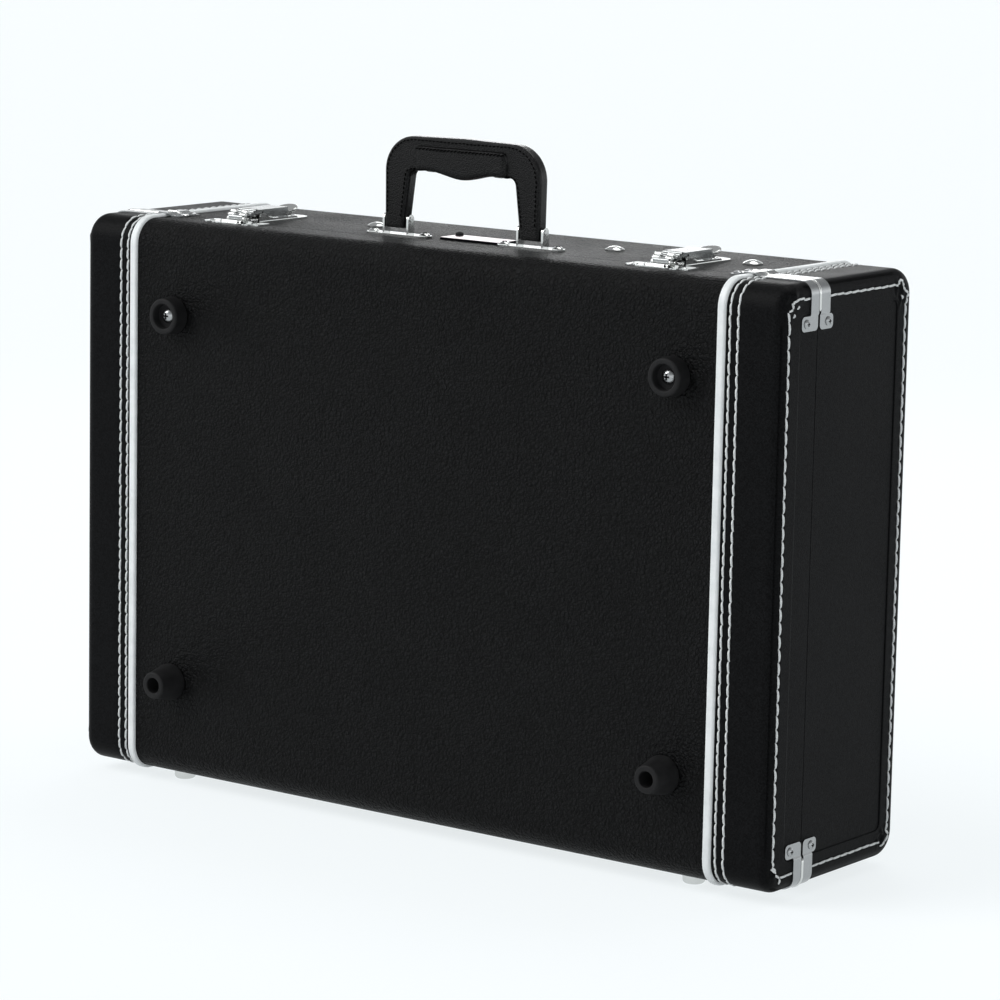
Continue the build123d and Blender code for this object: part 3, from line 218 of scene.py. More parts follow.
# ---------- Materials ----------
class Finish:
    """A node material: a Principled shader and short calls that feed it."""

    def __init__(self, name, color, roughness, metallic=0.0, **constants):
        self.material = bpy.data.materials.new(name)
        self.material.use_nodes = True
        self.tree = self.material.node_tree
        self.shader = self.tree.nodes["Principled BSDF"]
        self.shader.inputs["Base Color"].default_value = (*color, 1)
        self.shader.inputs["Roughness"].default_value = roughness
        self.shader.inputs["Metallic"].default_value = metallic
        for socket, value in constants.items():
            self.shader.inputs[socket.replace("_", " ")].default_value = value
        self.place = None
        self.last_bump = None

    def node(self, kind, **values):
        made = self.tree.nodes.new(kind)
        for key, value in values.items():
            if key in made.inputs:
                made.inputs[key].default_value = value
            else:
                setattr(made, key, value)
        return made

    def link(self, source, target):
        self.tree.links.new(source, target)

    def millimetres(self, stretch=(1, 1, 1)):
        """Object coordinates in millimetres, stretched along each axis."""
        if self.place is None:
            self.place = self.node("ShaderNodeTexCoord")
        scale = self.node("ShaderNodeMapping", Scale=[1000 / s for s in stretch])
        self.link(self.place.outputs["Object"], scale.inputs["Vector"])
        return scale.outputs["Vector"]

    def noise(self, size, detail=3.0, roughness=0.55, stretch=(1, 1, 1)):
        """Noise with features of a size in millimetres."""
        made = self.node("ShaderNodeTexNoise", Scale=1 / size, Detail=detail, Roughness=roughness)
        self.link(self.millimetres(stretch), made.inputs["Vector"])
        return made.outputs["Fac"]

    def cells(self, size, feature, warp, warp_size):
        """Distances in a warped cell pattern with cells of a size in millimetres."""
        made = self.node("ShaderNodeTexVoronoi", feature=feature, Scale=1 / size)
        vector = self.millimetres()
        soft = self.node("ShaderNodeTexNoise", Scale=1 / warp_size)
        self.link(vector, soft.inputs["Vector"])
        push = self.node("ShaderNodeVectorMath", operation="MULTIPLY_ADD")
        self.link(soft.outputs["Color"], push.inputs[0])
        push.inputs[1].default_value = (warp, warp, warp)
        self.link(vector, push.inputs[2])
        self.link(push.outputs[0], made.inputs["Vector"])
        return made.outputs["Distance"]

    def ramp(self, value, low, high, start=0.0, end=1.0, smooth=False):
        """A value mapped from one range to another."""
        made = self.node("ShaderNodeMapRange")
        if smooth:
            made.interpolation_type = "SMOOTHSTEP"
        for name, number in zip(("From Min", "From Max", "To Min", "To Max"), (start, end, low, high)):
            made.inputs[name].default_value = number
        self.link(value, made.inputs["Value"])
        return made.outputs["Result"]

    def math(self, operation, first, second):
        made = self.node("ShaderNodeMath", operation=operation)
        for socket, value in zip(made.inputs, (first, second)):
            if isinstance(value, (int, float)):
                socket.default_value = value
            else:
                self.link(value, socket)
        return made.outputs[0]

    def normal_part(self, kind, axis):
        """One part of the surface's normal."""
        split = self.node("ShaderNodeSeparateXYZ")
        self.link(self.node("ShaderNodeNewGeometry").outputs[kind], split.inputs[0])
        return split.outputs[axis]

    def mixed_color(self, factor, dark, light):
        """The base colour, mixed between two colours by a factor."""
        made = self.node("ShaderNodeMix", data_type="RGBA")
        made.inputs[6].default_value = (*dark, 1)
        made.inputs[7].default_value = (*light, 1)
        self.link(factor, made.inputs[0])
        self.link(made.outputs[2], self.shader.inputs["Base Color"])

    def roughness(self, factor, low, high):
        self.link(self.ramp(factor, low, high), self.shader.inputs["Roughness"])

    def bump(self, height, depth):
        """A relief of a depth in millimetres, laid over those before it."""
        made = self.node("ShaderNodeBump", Strength=1.0, Distance=depth * MM)
        self.link(height, made.inputs["Height"])
        if self.last_bump is not None:
            self.link(self.last_bump, made.inputs["Normal"])
        self.last_bump = made.outputs["Normal"]
        self.link(self.last_bump, self.shader.inputs["Normal"])


def grained_vinyl():
    """Black vinyl with a pebble grain of about 2 mm."""
    finish = Finish("grained_vinyl", (0.006, 0.0063, 0.0068), 0.45, Specular_IOR_Level=0.075)
    pebbles = finish.cells(2.1, "SMOOTH_F1", warp=1.6, warp_size=3.2)
    creases = finish.cells(3.4, "DISTANCE_TO_EDGE", warp=2.2, warp_size=6.0)
    pores = finish.noise(0.5, detail=4)
    broad = finish.noise(60, detail=2)
    finish.bump(finish.ramp(creases, 0, 1, 0.0, 0.2, smooth=True), 0.3)
    finish.bump(finish.ramp(pebbles, 1, 0, 0.0, 0.75), 0.8)
    finish.bump(finish.noise(1.4, detail=3, roughness=0.6), 0.6)
    finish.bump(pores, 0.05)
    finish.roughness(finish.math("ADD", broad, finish.ramp(pores, -0.2, 0.2)), 0.36, 0.56)
    # Grain tone with painted shade: the colour is darkest in the creases and between the pebbles, where the
    # relief is low.
    crease_shade = finish.ramp(creases, 0.1, 1, 0.0, 0.25)
    grain = finish.math("MULTIPLY", crease_shade, finish.ramp(pebbles, 1, 0.3, 0.1, 0.6))
    finish.mixed_color(grain, (0.0002, 0.0002, 0.0002), (0.0082, 0.0086, 0.0092))
    return finish.material


def smooth_vinyl():
    """Black vinyl with a fine grain, as on the ends."""
    finish = Finish("smooth_vinyl", (0.0045, 0.0047, 0.005), 0.4, Specular_IOR_Level=0.036)
    fine = finish.cells(0.8, "SMOOTH_F1", warp=0.6, warp_size=1.5)
    lines = finish.noise(1.2, detail=3, stretch=(1, 3.5, 1))
    broad = finish.noise(45, detail=2)
    finish.bump(finish.ramp(fine, 1, 0, 0, 0.8), 0.12)
    finish.bump(lines, 0.096)
    finish.roughness(finish.math("ADD", broad, finish.ramp(lines, -0.15, 0.15)), 0.34, 0.5)
    fine_lines = finish.math("MULTIPLY", finish.ramp(lines, 0, 1, 0.35, 0.65), finish.ramp(broad, 0.7, 1.3))
    finish.mixed_color(fine_lines, (0.0022, 0.0023, 0.0025), (0.0068, 0.0071, 0.0077))
    return finish.material


def piping_vinyl():
    """Off-white moulded piping, a little scuffed."""
    finish = Finish("piping_vinyl", (0.62, 0.645, 0.65), 0.42, Specular_IOR_Level=0.4)
    scuffs = finish.noise(14, detail=6, roughness=0.7)
    fine = finish.noise(0.7, detail=3)
    finish.bump(fine, 0.04)
    finish.roughness(scuffs, 0.34, 0.55)
    finish.mixed_color(finish.ramp(scuffs, 0, 1, 0.3, 0.6), (0.66, 0.685, 0.69), (0.78, 0.805, 0.81))
    return finish.material


def thread(name, dark, light, shine=0.3, sheen=0.2):
    """Waxed sewing thread, mixed from two shades."""
    finish = Finish(name, light, 0.6, Specular_IOR_Level=shine, Sheen_Weight=sheen)
    fibres = finish.noise(0.35, detail=4)
    finish.bump(fibres, 0.06)
    finish.mixed_color(finish.ramp(fibres, 0, 1, 0.3, 0.7), dark, light)
    return finish.material


def nickel(name="nickel_plate", color=(0.7, 0.71, 0.7), low=0.06, high=0.2):
    """Nickel plating with faint smears and fine scratches."""
    finish = Finish(name, color, 0.2, metallic=1.0)
    smears = finish.noise(9, detail=5, roughness=0.65)
    scratches = finish.noise(0.5, detail=2, stretch=(14, 1, 1))
    finish.bump(finish.noise(2.5, detail=2), 0.05)
    finish.bump(scratches, 0.006)
    finish.roughness(finish.math("ADD", smears, finish.ramp(scratches, -0.1, 0.1)), low, high)
    finish.mixed_color(smears, tuple(0.86 * c for c in color), color)
    return finish.material


def dark_steel():
    """Dull dark plating on the hinges."""
    finish = Finish("hinge_steel", (0.03, 0.03, 0.032), 0.4, metallic=1.0)
    stains = finish.noise(5, detail=5)
    finish.bump(finish.noise(0.8), 0.02)
    finish.roughness(stains, 0.3, 0.55)
    finish.mixed_color(stains, (0.02, 0.02, 0.021), (0.06, 0.06, 0.062))
    return finish.material


def rubber():
    """Matt black rubber with a moulded skin."""
    finish = Finish("rubber", (0.009, 0.009, 0.0095), 0.62, Specular_IOR_Level=0.15)
    skin = finish.noise(0.6, detail=4)
    dust = finish.noise(7, detail=5)
    finish.bump(skin, 0.03)
    finish.roughness(dust, 0.5, 0.75)
    finish.mixed_color(finish.ramp(dust, 0, 1, 0.35, 0.8), (0.008, 0.008, 0.0085), (0.016, 0.016, 0.0165))
    return finish.material


def plywood(name, axis):
    """Birch plywood: ply lines along one axis and long pale grain."""
    finish = Finish(name, (0.5, 0.36, 0.22), 0.6, Specular_IOR_Level=0.3)
    plies = finish.node("ShaderNodeTexWave", bands_direction=axis, Scale=0.13, Distortion=0.4)
    finish.link(finish.millimetres(), plies.inputs["Vector"])
    grain = finish.noise(1.2, detail=5, stretch=(9, 1, 9))
    finish.bump(grain, 0.08)
    finish.roughness(grain, 0.5, 0.75)
    both = finish.math("MULTIPLY", plies.outputs["Fac"], finish.ramp(grain, 0.6, 1.2))
    finish.mixed_color(both, (0.24, 0.13, 0.06), (0.6, 0.46, 0.3))
    return finish.material


def plush(name="plush", color=(0.022, 0.022, 0.025)):
    """Short black pile that catches light at its edges."""
    finish = Finish(name, color, 0.95, Specular_IOR_Level=0.1, Sheen_Weight=0.35, Sheen_Roughness=0.4)
    pile = finish.noise(0.45, detail=5, roughness=0.7)
    strokes = finish.noise(22, detail=4, stretch=(2.5, 1, 1))
    finish.bump(pile, 0.35)
    finish.bump(strokes, 0.5)
    light = tuple(2.2 * c for c in color)
    finish.mixed_color(finish.math("MULTIPLY", pile, finish.ramp(strokes, 0.4, 1.6)), color, light)
    return finish.material


def leather():
    """Handle leather: textured on its faces and smooth round its edges."""
    finish = Finish("handle_leather", (0.006, 0.0063, 0.0066), 0.45, Specular_IOR_Level=0.24)
    grain = finish.cells(1.0, "SMOOTH_F1", warp=0.9, warp_size=1.6)
    fine = finish.noise(0.5, detail=4)
    side = finish.math("ABSOLUTE", finish.normal_part("Normal", "Y"), 0)
    face = finish.ramp(side, 0.12, 1, 0.55, 0.85, smooth=True)
    finish.bump(finish.math("MULTIPLY", finish.ramp(grain, 1, 0, 0, 0.7), face), 0.8)
    finish.bump(finish.math("MULTIPLY", fine, face), 0.08)
    finish.roughness(finish.math("MULTIPLY", face, finish.ramp(fine, 0.8, 1.2)), 0.2, 0.66)
    finish.mixed_color(grain, (0.006, 0.0062, 0.0066), (0.0006, 0.0006, 0.0007))
    return finish.material


def plate_metal():
    """The blank name plate: satin face; its sides painted near black as shade."""
    finish = Finish("plate_metal", (0.4, 0.35, 0.35), 0.3, metallic=1.0)
    brushed = finish.noise(0.35, detail=3, stretch=(30, 1, 1))
    # Painted shade: faces that do not look up are coloured near black.
    top = finish.ramp(finish.normal_part("True Normal", "Z"), 0, 1, 0.9, 0.97)
    finish.bump(brushed, 0.01)
    finish.roughness(brushed, 0.22, 0.4)
    finish.mixed_color(top, (0.006, 0.006, 0.007), (0.56, 0.49, 0.5))
    return finish.material


def dress(nodes, material):
    """Gives CAD nodes a finish."""
    for name in nodes:
        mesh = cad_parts[name].data
        mesh.materials.clear()
        mesh.materials.append(material)


def nodes_like(*endings):
    """The CAD nodes whose names start or end with one of these."""
    return [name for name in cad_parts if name.endswith(endings) or name.startswith(endings)]


GRAINED = grained_vinyl()
SMOOTH = smooth_vinyl()
PIPING = piping_vinyl()
WHITE_THREAD = thread("white_thread", (0.52, 0.54, 0.54), (0.86, 0.88, 0.88))
BLACK_THREAD = thread("black_thread", (0.0005, 0.0005, 0.0005), (0.002, 0.002, 0.002), 0.02, 0.0)
NICKEL = nickel()
SATIN = nickel("satin_nickel", (0.38, 0.39, 0.395), 0.16, 0.32)
# Painted shade: a darker copy of the nickel for the latch claws, so that the sun's highlight does not white
# them out.
SHADED = nickel("shaded_nickel", (0.3, 0.31, 0.31), 0.1, 0.3)
# Near-black finish that paints the shade inside the screws' cross recesses and the catch's holes.
PAINTED_RECESS_SHADE = Finish("recess", (0.006, 0.006, 0.006), 0.6, Specular_IOR_Level=0.1).material
HINGE_STEEL = dark_steel()
RUBBER = rubber()
PLUSH = plush()
CARPET = plush("loop_carpet", (0.035, 0.035, 0.038))
LEATHER = leather()

dress(nodes_like("_cover"), GRAINED)
dress(nodes_like("base_end_", "lid_end_"), SMOOTH)
dress(nodes_like("_piping"), PIPING)
dress(nodes_like("latch_", "handle_mount", "handle_pins", "catch_screws", "lid_studs"), NICKEL)
dress(nodes_like("_glides"), NICKEL)
dress(nodes_like("latch_claw_left", "latch_claw_right"), SHADED)
dress(nodes_like("_corner_strips", "_corner_screws", "foot_screws"), SATIN)
dress(nodes_like("_hinge_leaves", "_hinge_rivets", "hinge_pins"), HINGE_STEEL)
dress(nodes_like("_feet"), RUBBER)
dress(["base_long_walls", "lid_long_walls"], plywood("plywood_long", "Z"))
dress(["base_end_walls", "lid_end_walls", "base_lip"], plywood("plywood_end", "X"))
dress(["base_panel", "lid_panel", "pedal_deck"], plywood("plywood_panel", "Y"))
dress(nodes_like("_lining", "_foam"), PLUSH)
dress(["deck_carpet"], CARPET)
dress(["handle_body", "handle_grip"], LEATHER)
dress(["handle_core"], HINGE_STEEL)
dress(["name_plate"], plate_metal())


# ---------- Mesh helpers ----------
def mesh_of(name, vertices, faces):
    """A mesh whose faces all look outwards."""
    mesh = bpy.data.meshes.new(name)
    mesh.from_pydata([tuple(v) for v in vertices], [], [tuple(f) for f in faces])
    mesh.validate()
    mesh.update()
    fixed = bmesh.new()
    fixed.from_mesh(mesh)
    bmesh.ops.recalc_face_normals(fixed, faces=fixed.faces)
    fixed.to_mesh(mesh)
    fixed.free()
    return mesh


def put_in_scene(name, data):
    made = bpy.data.objects.new(name, data)
    bpy.context.scene.collection.objects.link(made)
    return made


def baked(item):
    """The mesh of an object with its modifiers applied. The object itself goes."""
    made = bpy.data.meshes.new_from_object(item.evaluated_get(bpy.context.evaluated_depsgraph_get()))
    bpy.data.objects.remove(item)
    return made


def add_piece(name, vertices, faces, material, body, slot=None, smooth=True):
    """A mesh piece that rides on a body."""
    mesh = mesh_of(name, vertices, faces)
    mesh.polygons.foreach_set("use_smooth", [smooth] * len(mesh.polygons))
    mesh.materials.append(material)
    piece = put_in_scene(name, mesh)
    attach(piece, body)
    return piece


def filleted(points, radius, steps):
    """Points along an open path with round corners.

    steps holds how many steps each straight run and each arc takes, in turn.
    """
    points = np.array(points) @ [1, 1j]
    ways = np.diff(points) / abs(np.diff(points))
    bends = np.append(np.angle(ways[1:] / ways[:-1]), 0)
    path = [points[0]]
    for i, (corner, way, bend) in enumerate(zip(points[1:], ways, bends)):
        begin = corner - way * radius * math.tan(abs(bend) / 2)
        path.extend(np.linspace(path[-1], begin, steps[2 * i] + 1)[1:])
        if bend:
            centre = begin + way * 1j * math.copysign(radius, bend)
            angles = np.linspace(0, bend, steps[2 * i + 1] + 1)[1:]
            path.extend(centre + (begin - centre) * np.exp(1j * angles))
    return np.column_stack([np.real(path), np.imag(path)])


def along(path):
    """The length from a path's start to each of its points."""
    return np.concatenate([[0], np.cumsum(np.linalg.norm(np.diff(path, axis=0), axis=1))])


def grid_faces(rows, columns):
    """Quads of a grid whose points are stored row by row."""
    return [
        (a, a + 1, a + columns + 1, a + columns)
        for i in range(rows - 1)
        for a in range(i * columns, (i + 1) * columns - 1)
    ]


def ring_faces(rings, sides):
    """Quads of a bar whose points are stored ring by ring, and its two ends."""
    faces = [
        (i * sides + j, i * sides + k, (i + 1) * sides + k, (i + 1) * sides + j)
        for i in range(rings - 1)
        for j, k in zip(range(sides), (*range(1, sides), 0))
    ]
    return faces + [tuple(range(sides)), tuple(range((rings - 1) * sides, rings * sides))]


def turns(sides):
    """Angles spread evenly round a circle."""
    return [2 * math.pi * j / sides for j in range(sides)]


def prism(outline, axis, low, high):
    """A closed plate: an outline seen along an axis, between two places on that axis."""
    vertices = [tuple(np.insert(point, axis, level)) for level in (low, high) for point in outline]
    return vertices, ring_faces(2, len(outline))


def tube(points, radii, sides=10, frame_up=(0, 1, 0)):
    """A closed round bar along a path that stays square to one direction."""
    points, up = np.array(points, float), np.array(frame_up, float)
    vertices = []
    for centre, tangent, radius in zip(points, np.gradient(points, axis=0), radii):
        across = np.cross(tangent / np.linalg.norm(tangent), up)
        across /= np.linalg.norm(across)
        for angle in turns(sides):
            vertices.append(centre + radius * (across * math.cos(angle) + up * math.sin(angle)))
    return vertices, ring_faces(len(points), sides)


def joined(shapes):
    """Several shapes of vertices and faces as one."""
    vertices, faces = [], []
    for more, shape in shapes:
        start = len(vertices)
        vertices += list(more)
        faces += [tuple(start + v for v in face) for face in shape]
    return vertices, faces


class Half:
    """The base or the lid: its rim, its panel side and its outline."""

    def __init__(self, name, rim_y, panel_y, strip_reach):
        self.name = name
        self.rim_y = rim_y
        self.panel_y = panel_y
        self.way = math.copysign(1, panel_y - rim_y)
        self.strip_reach = strip_reach
        side_steps = int(abs(panel_y - rim_y) / SIDE_STEP)
        self.steps = (side_steps, ARC_STEPS, FACE_STEPS, ARC_STEPS, side_steps)

    def outline(self, inset):
        """The half's outline in Y and Z, from the rim on top to the rim below."""
        top, bottom = TOP_Z - inset, BOTTOM_Z + inset
        far = self.panel_y - self.way * inset
        points = [(self.rim_y, top), (far, top), (far, bottom), (self.rim_y, bottom)]
        radius = LONG_EDGE_RADIUS - min(inset, END_EDGE_RADIUS)
        if inset > END_EDGE_RADIUS:
            share = (inset - END_EDGE_RADIUS) / (PANEL_INSET - END_EDGE_RADIUS)
            radius += (BORDER_RADIUS - radius) * min(1, share)
        return filleted(points, radius, self.steps)


BASE = Half("base", COVER_HIGH.y, FRONT_Y, BASE_STRIP_REACH)
LID = Half("lid", LID_LOW.y, BACK_Y, LID_STRIP_REACH)
SIDES = {"left": -1, "right": 1}


def outward(path):
    """Unit normals of a half's outline, away from the case."""
    tangent = np.gradient(path, axis=0)
    tangent /= np.linalg.norm(tangent, axis=1)[:, None]
    normal = np.stack([tangent[:, 1], -tangent[:, 0]], axis=1)
    middle = np.array([path[:, 0].mean(), MID_Z])
    if ((path - middle) * normal).sum() < 0:
        normal = -normal
    return normal


# ---------- Stitching ----------
def stitch(start, end, normal, radius, sides=9, rings=9):
    """One stitch of three twisted plies, bowed off the surface, its ends sunk in it."""
    start, end, normal = (np.array(p, float) for p in (start, end, normal))
    length = np.linalg.norm(end - start)
    run = (end - start) / length
    across = np.cross(normal, run)
    vertices = []
    for i in range(rings):
        t = i / (rings - 1)
        bow = math.sin(math.pi * t) ** 0.5
        thick = radius * (0.62 + 0.38 * bow)
        centre = start + run * length * t + normal * radius * (1.3 * bow - 0.7)
        for angle in turns(sides):
            ply = 1 + 0.13 * math.cos(3 * angle - 9 * t)
            way = across * math.cos(angle) + normal * math.sin(angle)
            vertices.append(centre + thick * ply * way)
    return vertices, ring_faces(rings, sides)


def add_white_stitches(name, stitches, body):
    """One piece with many stitches, each given as its start, end and normal."""
    shapes = [stitch(*place, THREAD_RADIUS) for place in stitches]
    add_piece(name, *joined(shapes), WHITE_THREAD, body, "white_piping")


def add_black_stitches(name, stitches):
    """One piece with the handle's finer stitches."""
    shapes = [stitch(*place, BLACK_THREAD_RADIUS, sides=7, rings=5) for place in stitches]
    add_piece(name, *joined(shapes), BLACK_THREAD, "handle", "handle_leather")


def row_of_stitches(path, normals, pitch, lean, chance, skip=None, share=1.0):
    """Stitches along a path of points, each a little askew."""
    places = along(path)
    made = []
    for k in range(round(places[-1] / pitch)):
        centre = (k + 0.5) * pitch
        if skip is not None and skip(centre):
            continue
        start, end = (
            np.array([np.interp(centre + way * pitch * share / 2, places, axis) for axis in path.T])
            for way in (-1, 1)
        )
        normal = np.array([np.interp(centre, places, axis) for axis in normals.T])
        normal /= np.linalg.norm(normal)
        across = np.cross(normal, end - start)
        across /= np.linalg.norm(across)
        tilt = (lean + chance.uniform(-0.04, 0.04)) * pitch / 2
        wander = chance.uniform(-0.18, 0.18) * MM
        made.append((start + across * (wander - tilt), end + across * (wander + tilt), normal))
    return made


def piping_rows(half):
    """The two rows beside the piping, on both ends of a half."""
    chance = np.random.default_rng(11 if half is BASE else 12)
    outline = half.outline(0)
    total = along(outline)[-1]
    hidden = half.strip_reach + 0.5 * MM
    facing = np.column_stack([np.zeros(len(outline)), outward(outline)])

    def under_strip(s):
        return s < hidden or s > total - hidden

    for side_name, side in SIDES.items():
        stitches = []
        for x in ROW_XS:
            path = np.column_stack([np.full(len(outline), side * x), outline]) - facing * THREAD_SINK
            stitches += row_of_stitches(path, facing, ROW_PITCH, STITCH_LEAN * side, chance, under_strip)
        add_white_stitches(f"{half.name}_piping_stitches_{side_name}", stitches, half.name)


def corner_place(half, level, inward, depth):
    """The Y and Z of a point given by its distances from two outer sides."""
    y = half.panel_y - half.way * inward
    z = TOP_Z - depth if level == "top" else BOTTOM_Z + depth
    return y, z


def end_face_x(depth):
    """How far out the end cover's surface is, at a distance inside its outline."""
    if depth >= END_EDGE_RADIUS:
        return END_X
    lack = END_EDGE_RADIUS - depth
    return END_X - END_EDGE_RADIUS + math.sqrt(END_EDGE_RADIUS**2 - lack**2)


def end_row_runs(half):
    """The straight stretches of a half's row of stitches on its end faces."""
    aside = END_ROW_FRONT if half is BASE else END_ROW_BACK
    far = half.panel_y - half.way * aside
    near_corner = half.panel_y - half.way * CORNER_REACH
    strip = half.rim_y + half.way * (half.strip_reach + 0.1 * MM)
    top, bottom = TOP_Z - END_ROW_TOP, BOTTOM_Z + END_ROW_BOTTOM
    return [
        [(strip, top), (near_corner, top)],
        [(far, TOP_Z - CORNER_REACH), (far, BOTTOM_Z + CORNER_REACH)],
        [(near_corner, bottom), (strip, bottom)],
    ]


def even_pitch(length):
    """The pitch closest to that of the end rows that divides a length evenly."""
    return length / max(1, round(length / END_ROW_PITCH))


def corner_stitches(half, side):
    """The untidy stitches at both corners of an end face."""
    stitches = []
    for level in ("top", "bottom"):
        for run in CORNERS[(half.name, level)]:
            places = []
            for inward, depth in run:
                x = side * end_face_x(min(inward, depth) * MM)
                places.append((x, *corner_place(half, level, inward * MM, depth * MM)))
            stitches += [(start, end, (side, 0, 0)) for start, end in zip(places, places[1:])]
    return stitches


def end_rows(half):
    """Rows of stitches round both end faces of a half."""
    chance = np.random.default_rng(21 if half is BASE else 22)
    for side_name, side in SIDES.items():
        facing = np.array([[side, 0, 0]] * 2, float)
        stitches = []
        for run in end_row_runs(half):
            inset = min(abs(run[0][0] - half.panel_y), END_EDGE_RADIUS)
            path = np.array([(side * (end_face_x(inset) - THREAD_SINK), *point) for point in run])
            pitch = even_pitch(np.linalg.norm(path[1] - path[0]))
            stitches += row_of_stitches(path, facing, pitch, STITCH_LEAN * side, chance)
        stitches += corner_stitches(half, side)
        add_white_stitches(f"{half.name}_end_stitches_{side_name}", stitches, half.name)


# ---------- End covers, with grooves under the thread and gathered corners ----------
def edge_arc(angle):
    """A point on an end's round edge: how far out, and how far inside the outline."""
    return END_X - END_EDGE_RADIUS * (1 - math.sin(angle)), END_EDGE_RADIUS * (1 - math.cos(angle))


def cover_profile():
    """Across an end cover: how far out, how far inside the outline, and the slope."""
    beside_piping = (COVER_X + COVER_GAP, COVER_X + 1.2 * MM, COVER_X + 2.3 * MM)
    under_rows = np.arange(ROW_XS[0] - 0.9 * MM, ROW_XS[1] + 1.9 * MM, FINE_STEP)
    past_rows = np.linspace(ROW_XS[1] + 3.2 * MM, END_X - END_EDGE_RADIUS, 9)
    rows = [(x, 0.0, 0.0) for x in (*beside_piping, *under_rows, *past_rows)]
    rows += [(*edge_arc(angle), angle) for angle in np.linspace(0, math.pi / 2, 11)[1:]]
    lip_start = PANEL_INSET - BORDER_LIP
    flat = [(END_X, inset) for inset in np.arange(END_EDGE_RADIUS + 0.6 * MM, lip_start, FINE_STEP)]
    flat.append((END_X - 0.15 * MM, lip_start + 0.35 * MM))
    flat.append((END_X - BORDER_LIP, PANEL_INSET))
    flat.append((PANEL_X - 0.1 * MM, PANEL_INSET))
    return rows + [(x, inset, math.pi / 2) for x, inset in flat]


def row_groove(distance, s, pitch):
    """How deep the leather is drawn in near a row of stitches."""
    hole = 0.5 + 0.5 * np.cos(2 * math.pi * s / pitch)
    return np.exp(-((distance / GROOVE_WIDTH) ** 2)) * (GROOVE_DEPTH + HOLE_DEPTH * hole**3)


def gather_relief(inward, depth, gather):
    """The hollow and the folds where the leather is gathered at a corner."""
    middle_in, middle_down, half_in, half_down = gather
    a = (inward / MM - middle_in) / half_in
    b = (depth / MM - middle_down) / half_down
    reach = np.hypot(a, b)
    angle = np.arctan2(b, a)
    hollow = -0.95 * np.exp(-((np.abs(a) ** 1.3 + np.abs(b) ** 1.3) ** 3))
    rim = 0.9 * np.exp(-(((reach - 1.25) / 0.3) ** 2)) * (0.55 + 0.45 * np.cos(3 * angle + 1))
    folds = 0.4 * np.cos(5 * angle + 2 * reach) * np.exp(-(((reach - 1.7) / 0.6) ** 2))
    return (hollow + rim + folds) * MM


def side_relief(half, x, outline):
    """The grooves of the rows beside the piping, on one line of the grid."""
    s = along(outline)
    hidden = half.strip_reach + 2 * MM
    covered = (s < hidden) | (s > s[-1] - hidden)
    return -sum(np.where(covered, 0, row_groove(abs(x - row_x), s, ROW_PITCH)) for row_x in ROW_XS)


def face_relief(half, inset, outline):
    """The end row's groove and the gathered corners, on one line of the grid."""
    relief = np.zeros(len(outline))
    for start, end in end_row_runs(half):
        run = np.subtract(end, start)
        length = np.linalg.norm(run)
        place = (outline - start) @ run / length
        aside = np.abs((outline - start) @ [-run[1], run[0]]) / length
        inside = (place > 0) & (place < length)
        relief -= np.where(inside, row_groove(aside, place, even_pitch(length)), 0)
    fade = min(1.0, max(0.0, inset / MM - 1.5) / 5) * min(1.0, (PANEL_INSET - inset) / (1.2 * MM))
    inward = np.abs(outline[:, 0] - half.panel_y)
    for level, depth in (("top", TOP_Z - outline[:, 1]), ("bottom", outline[:, 1] - BOTTOM_Z)):
        relief += fade * gather_relief(inward, depth, GATHERS[(half.name, level)])
    return relief


def rim_plate(side):
    """The outline of the covering folded over the rim of one end, seen along Y."""
    edge = [edge_arc(angle) for angle in np.linspace(0, math.pi / 2, 9)]
    upper = [(COVER_X + COVER_GAP, TOP_Z)] + [(x, TOP_Z - depth) for x, depth in edge]
    upper += [(END_X, TOP_Z - PANEL_INSET), (WOOD_X, TOP_Z - PANEL_INSET)]
    lower = [(x, BOTTOM_Z + TOP_Z - z) for x, z in upper[::-1]]
    near, low, high = COVER_X + COVER_GAP, BOTTOM_Z + LID_WALL, TOP_Z - LID_WALL
    inner = [(near, low), (INSIDE_X, low), (INSIDE_X, high), (near, high)]
    return [(side * x, z) for x, z in upper + lower + inner]


def shell_points(half):
    """Rows of points over an end cover's outside, and back along its inside."""
    rows = []
    for x, inset, angle in cover_profile():
        outline = half.outline(inset)
        relief = face_relief(half, inset, outline) if inset else side_relief(half, x, outline)
        facing = outward(outline) * math.cos(angle)
        spread = outline + relief[:, None] * facing
        rows.append(np.column_stack([x + relief * math.sin(angle), spread]))
    for x, inset, angle in cover_profile()[::-1]:
        outline = half.outline(min(max(inset, SKIN), PANEL_INSET))
        rows.append(np.column_stack([np.full(len(outline), min(x, WOOD_X)), outline]))
    return rows


def shell_faces(rows, columns):
    """Faces of a shell whose last row joins its first, and of both its rims."""
    faces = grid_faces(rows, columns)
    last = (rows - 1) * columns
    faces += [(last + j, last + j + 1, j + 1, j) for j in range(columns - 1)]
    for j in (0, columns - 1):
        loop = [i * columns + j for i in range(rows)]
        for i in range(rows // 2 - 1):
            faces.append((loop[i], loop[i + 1], loop[rows - 2 - i], loop[rows - 1 - i]))
    return faces


def end_cover(half, side_name):
    """A closed shell in place of an end cover's node."""
    side = SIDES[side_name]
    rows = shell_points(half)
    points = np.concatenate(rows) * [side, 1, 1]
    shell = (points, shell_faces(len(rows), len(rows[0])))
    fold = prism(rim_plate(side), 1, half.rim_y, half.rim_y + half.way * SKIN)
    node = f"{half.name}_end_cover_{side_name}"
    piece = add_piece(f"{node}_sewn", *joined([shell, fold]), SMOOTH, half.name, "smooth_vinyl")
    piece.data.set_sharp_from_angle(angle=math.radians(50))
    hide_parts(node)


# ---------- Reading the model's surfaces ----------
def node_points(node):
    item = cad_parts[node]
    return np.array([item.matrix_world @ v.co for v in item.data.vertices])


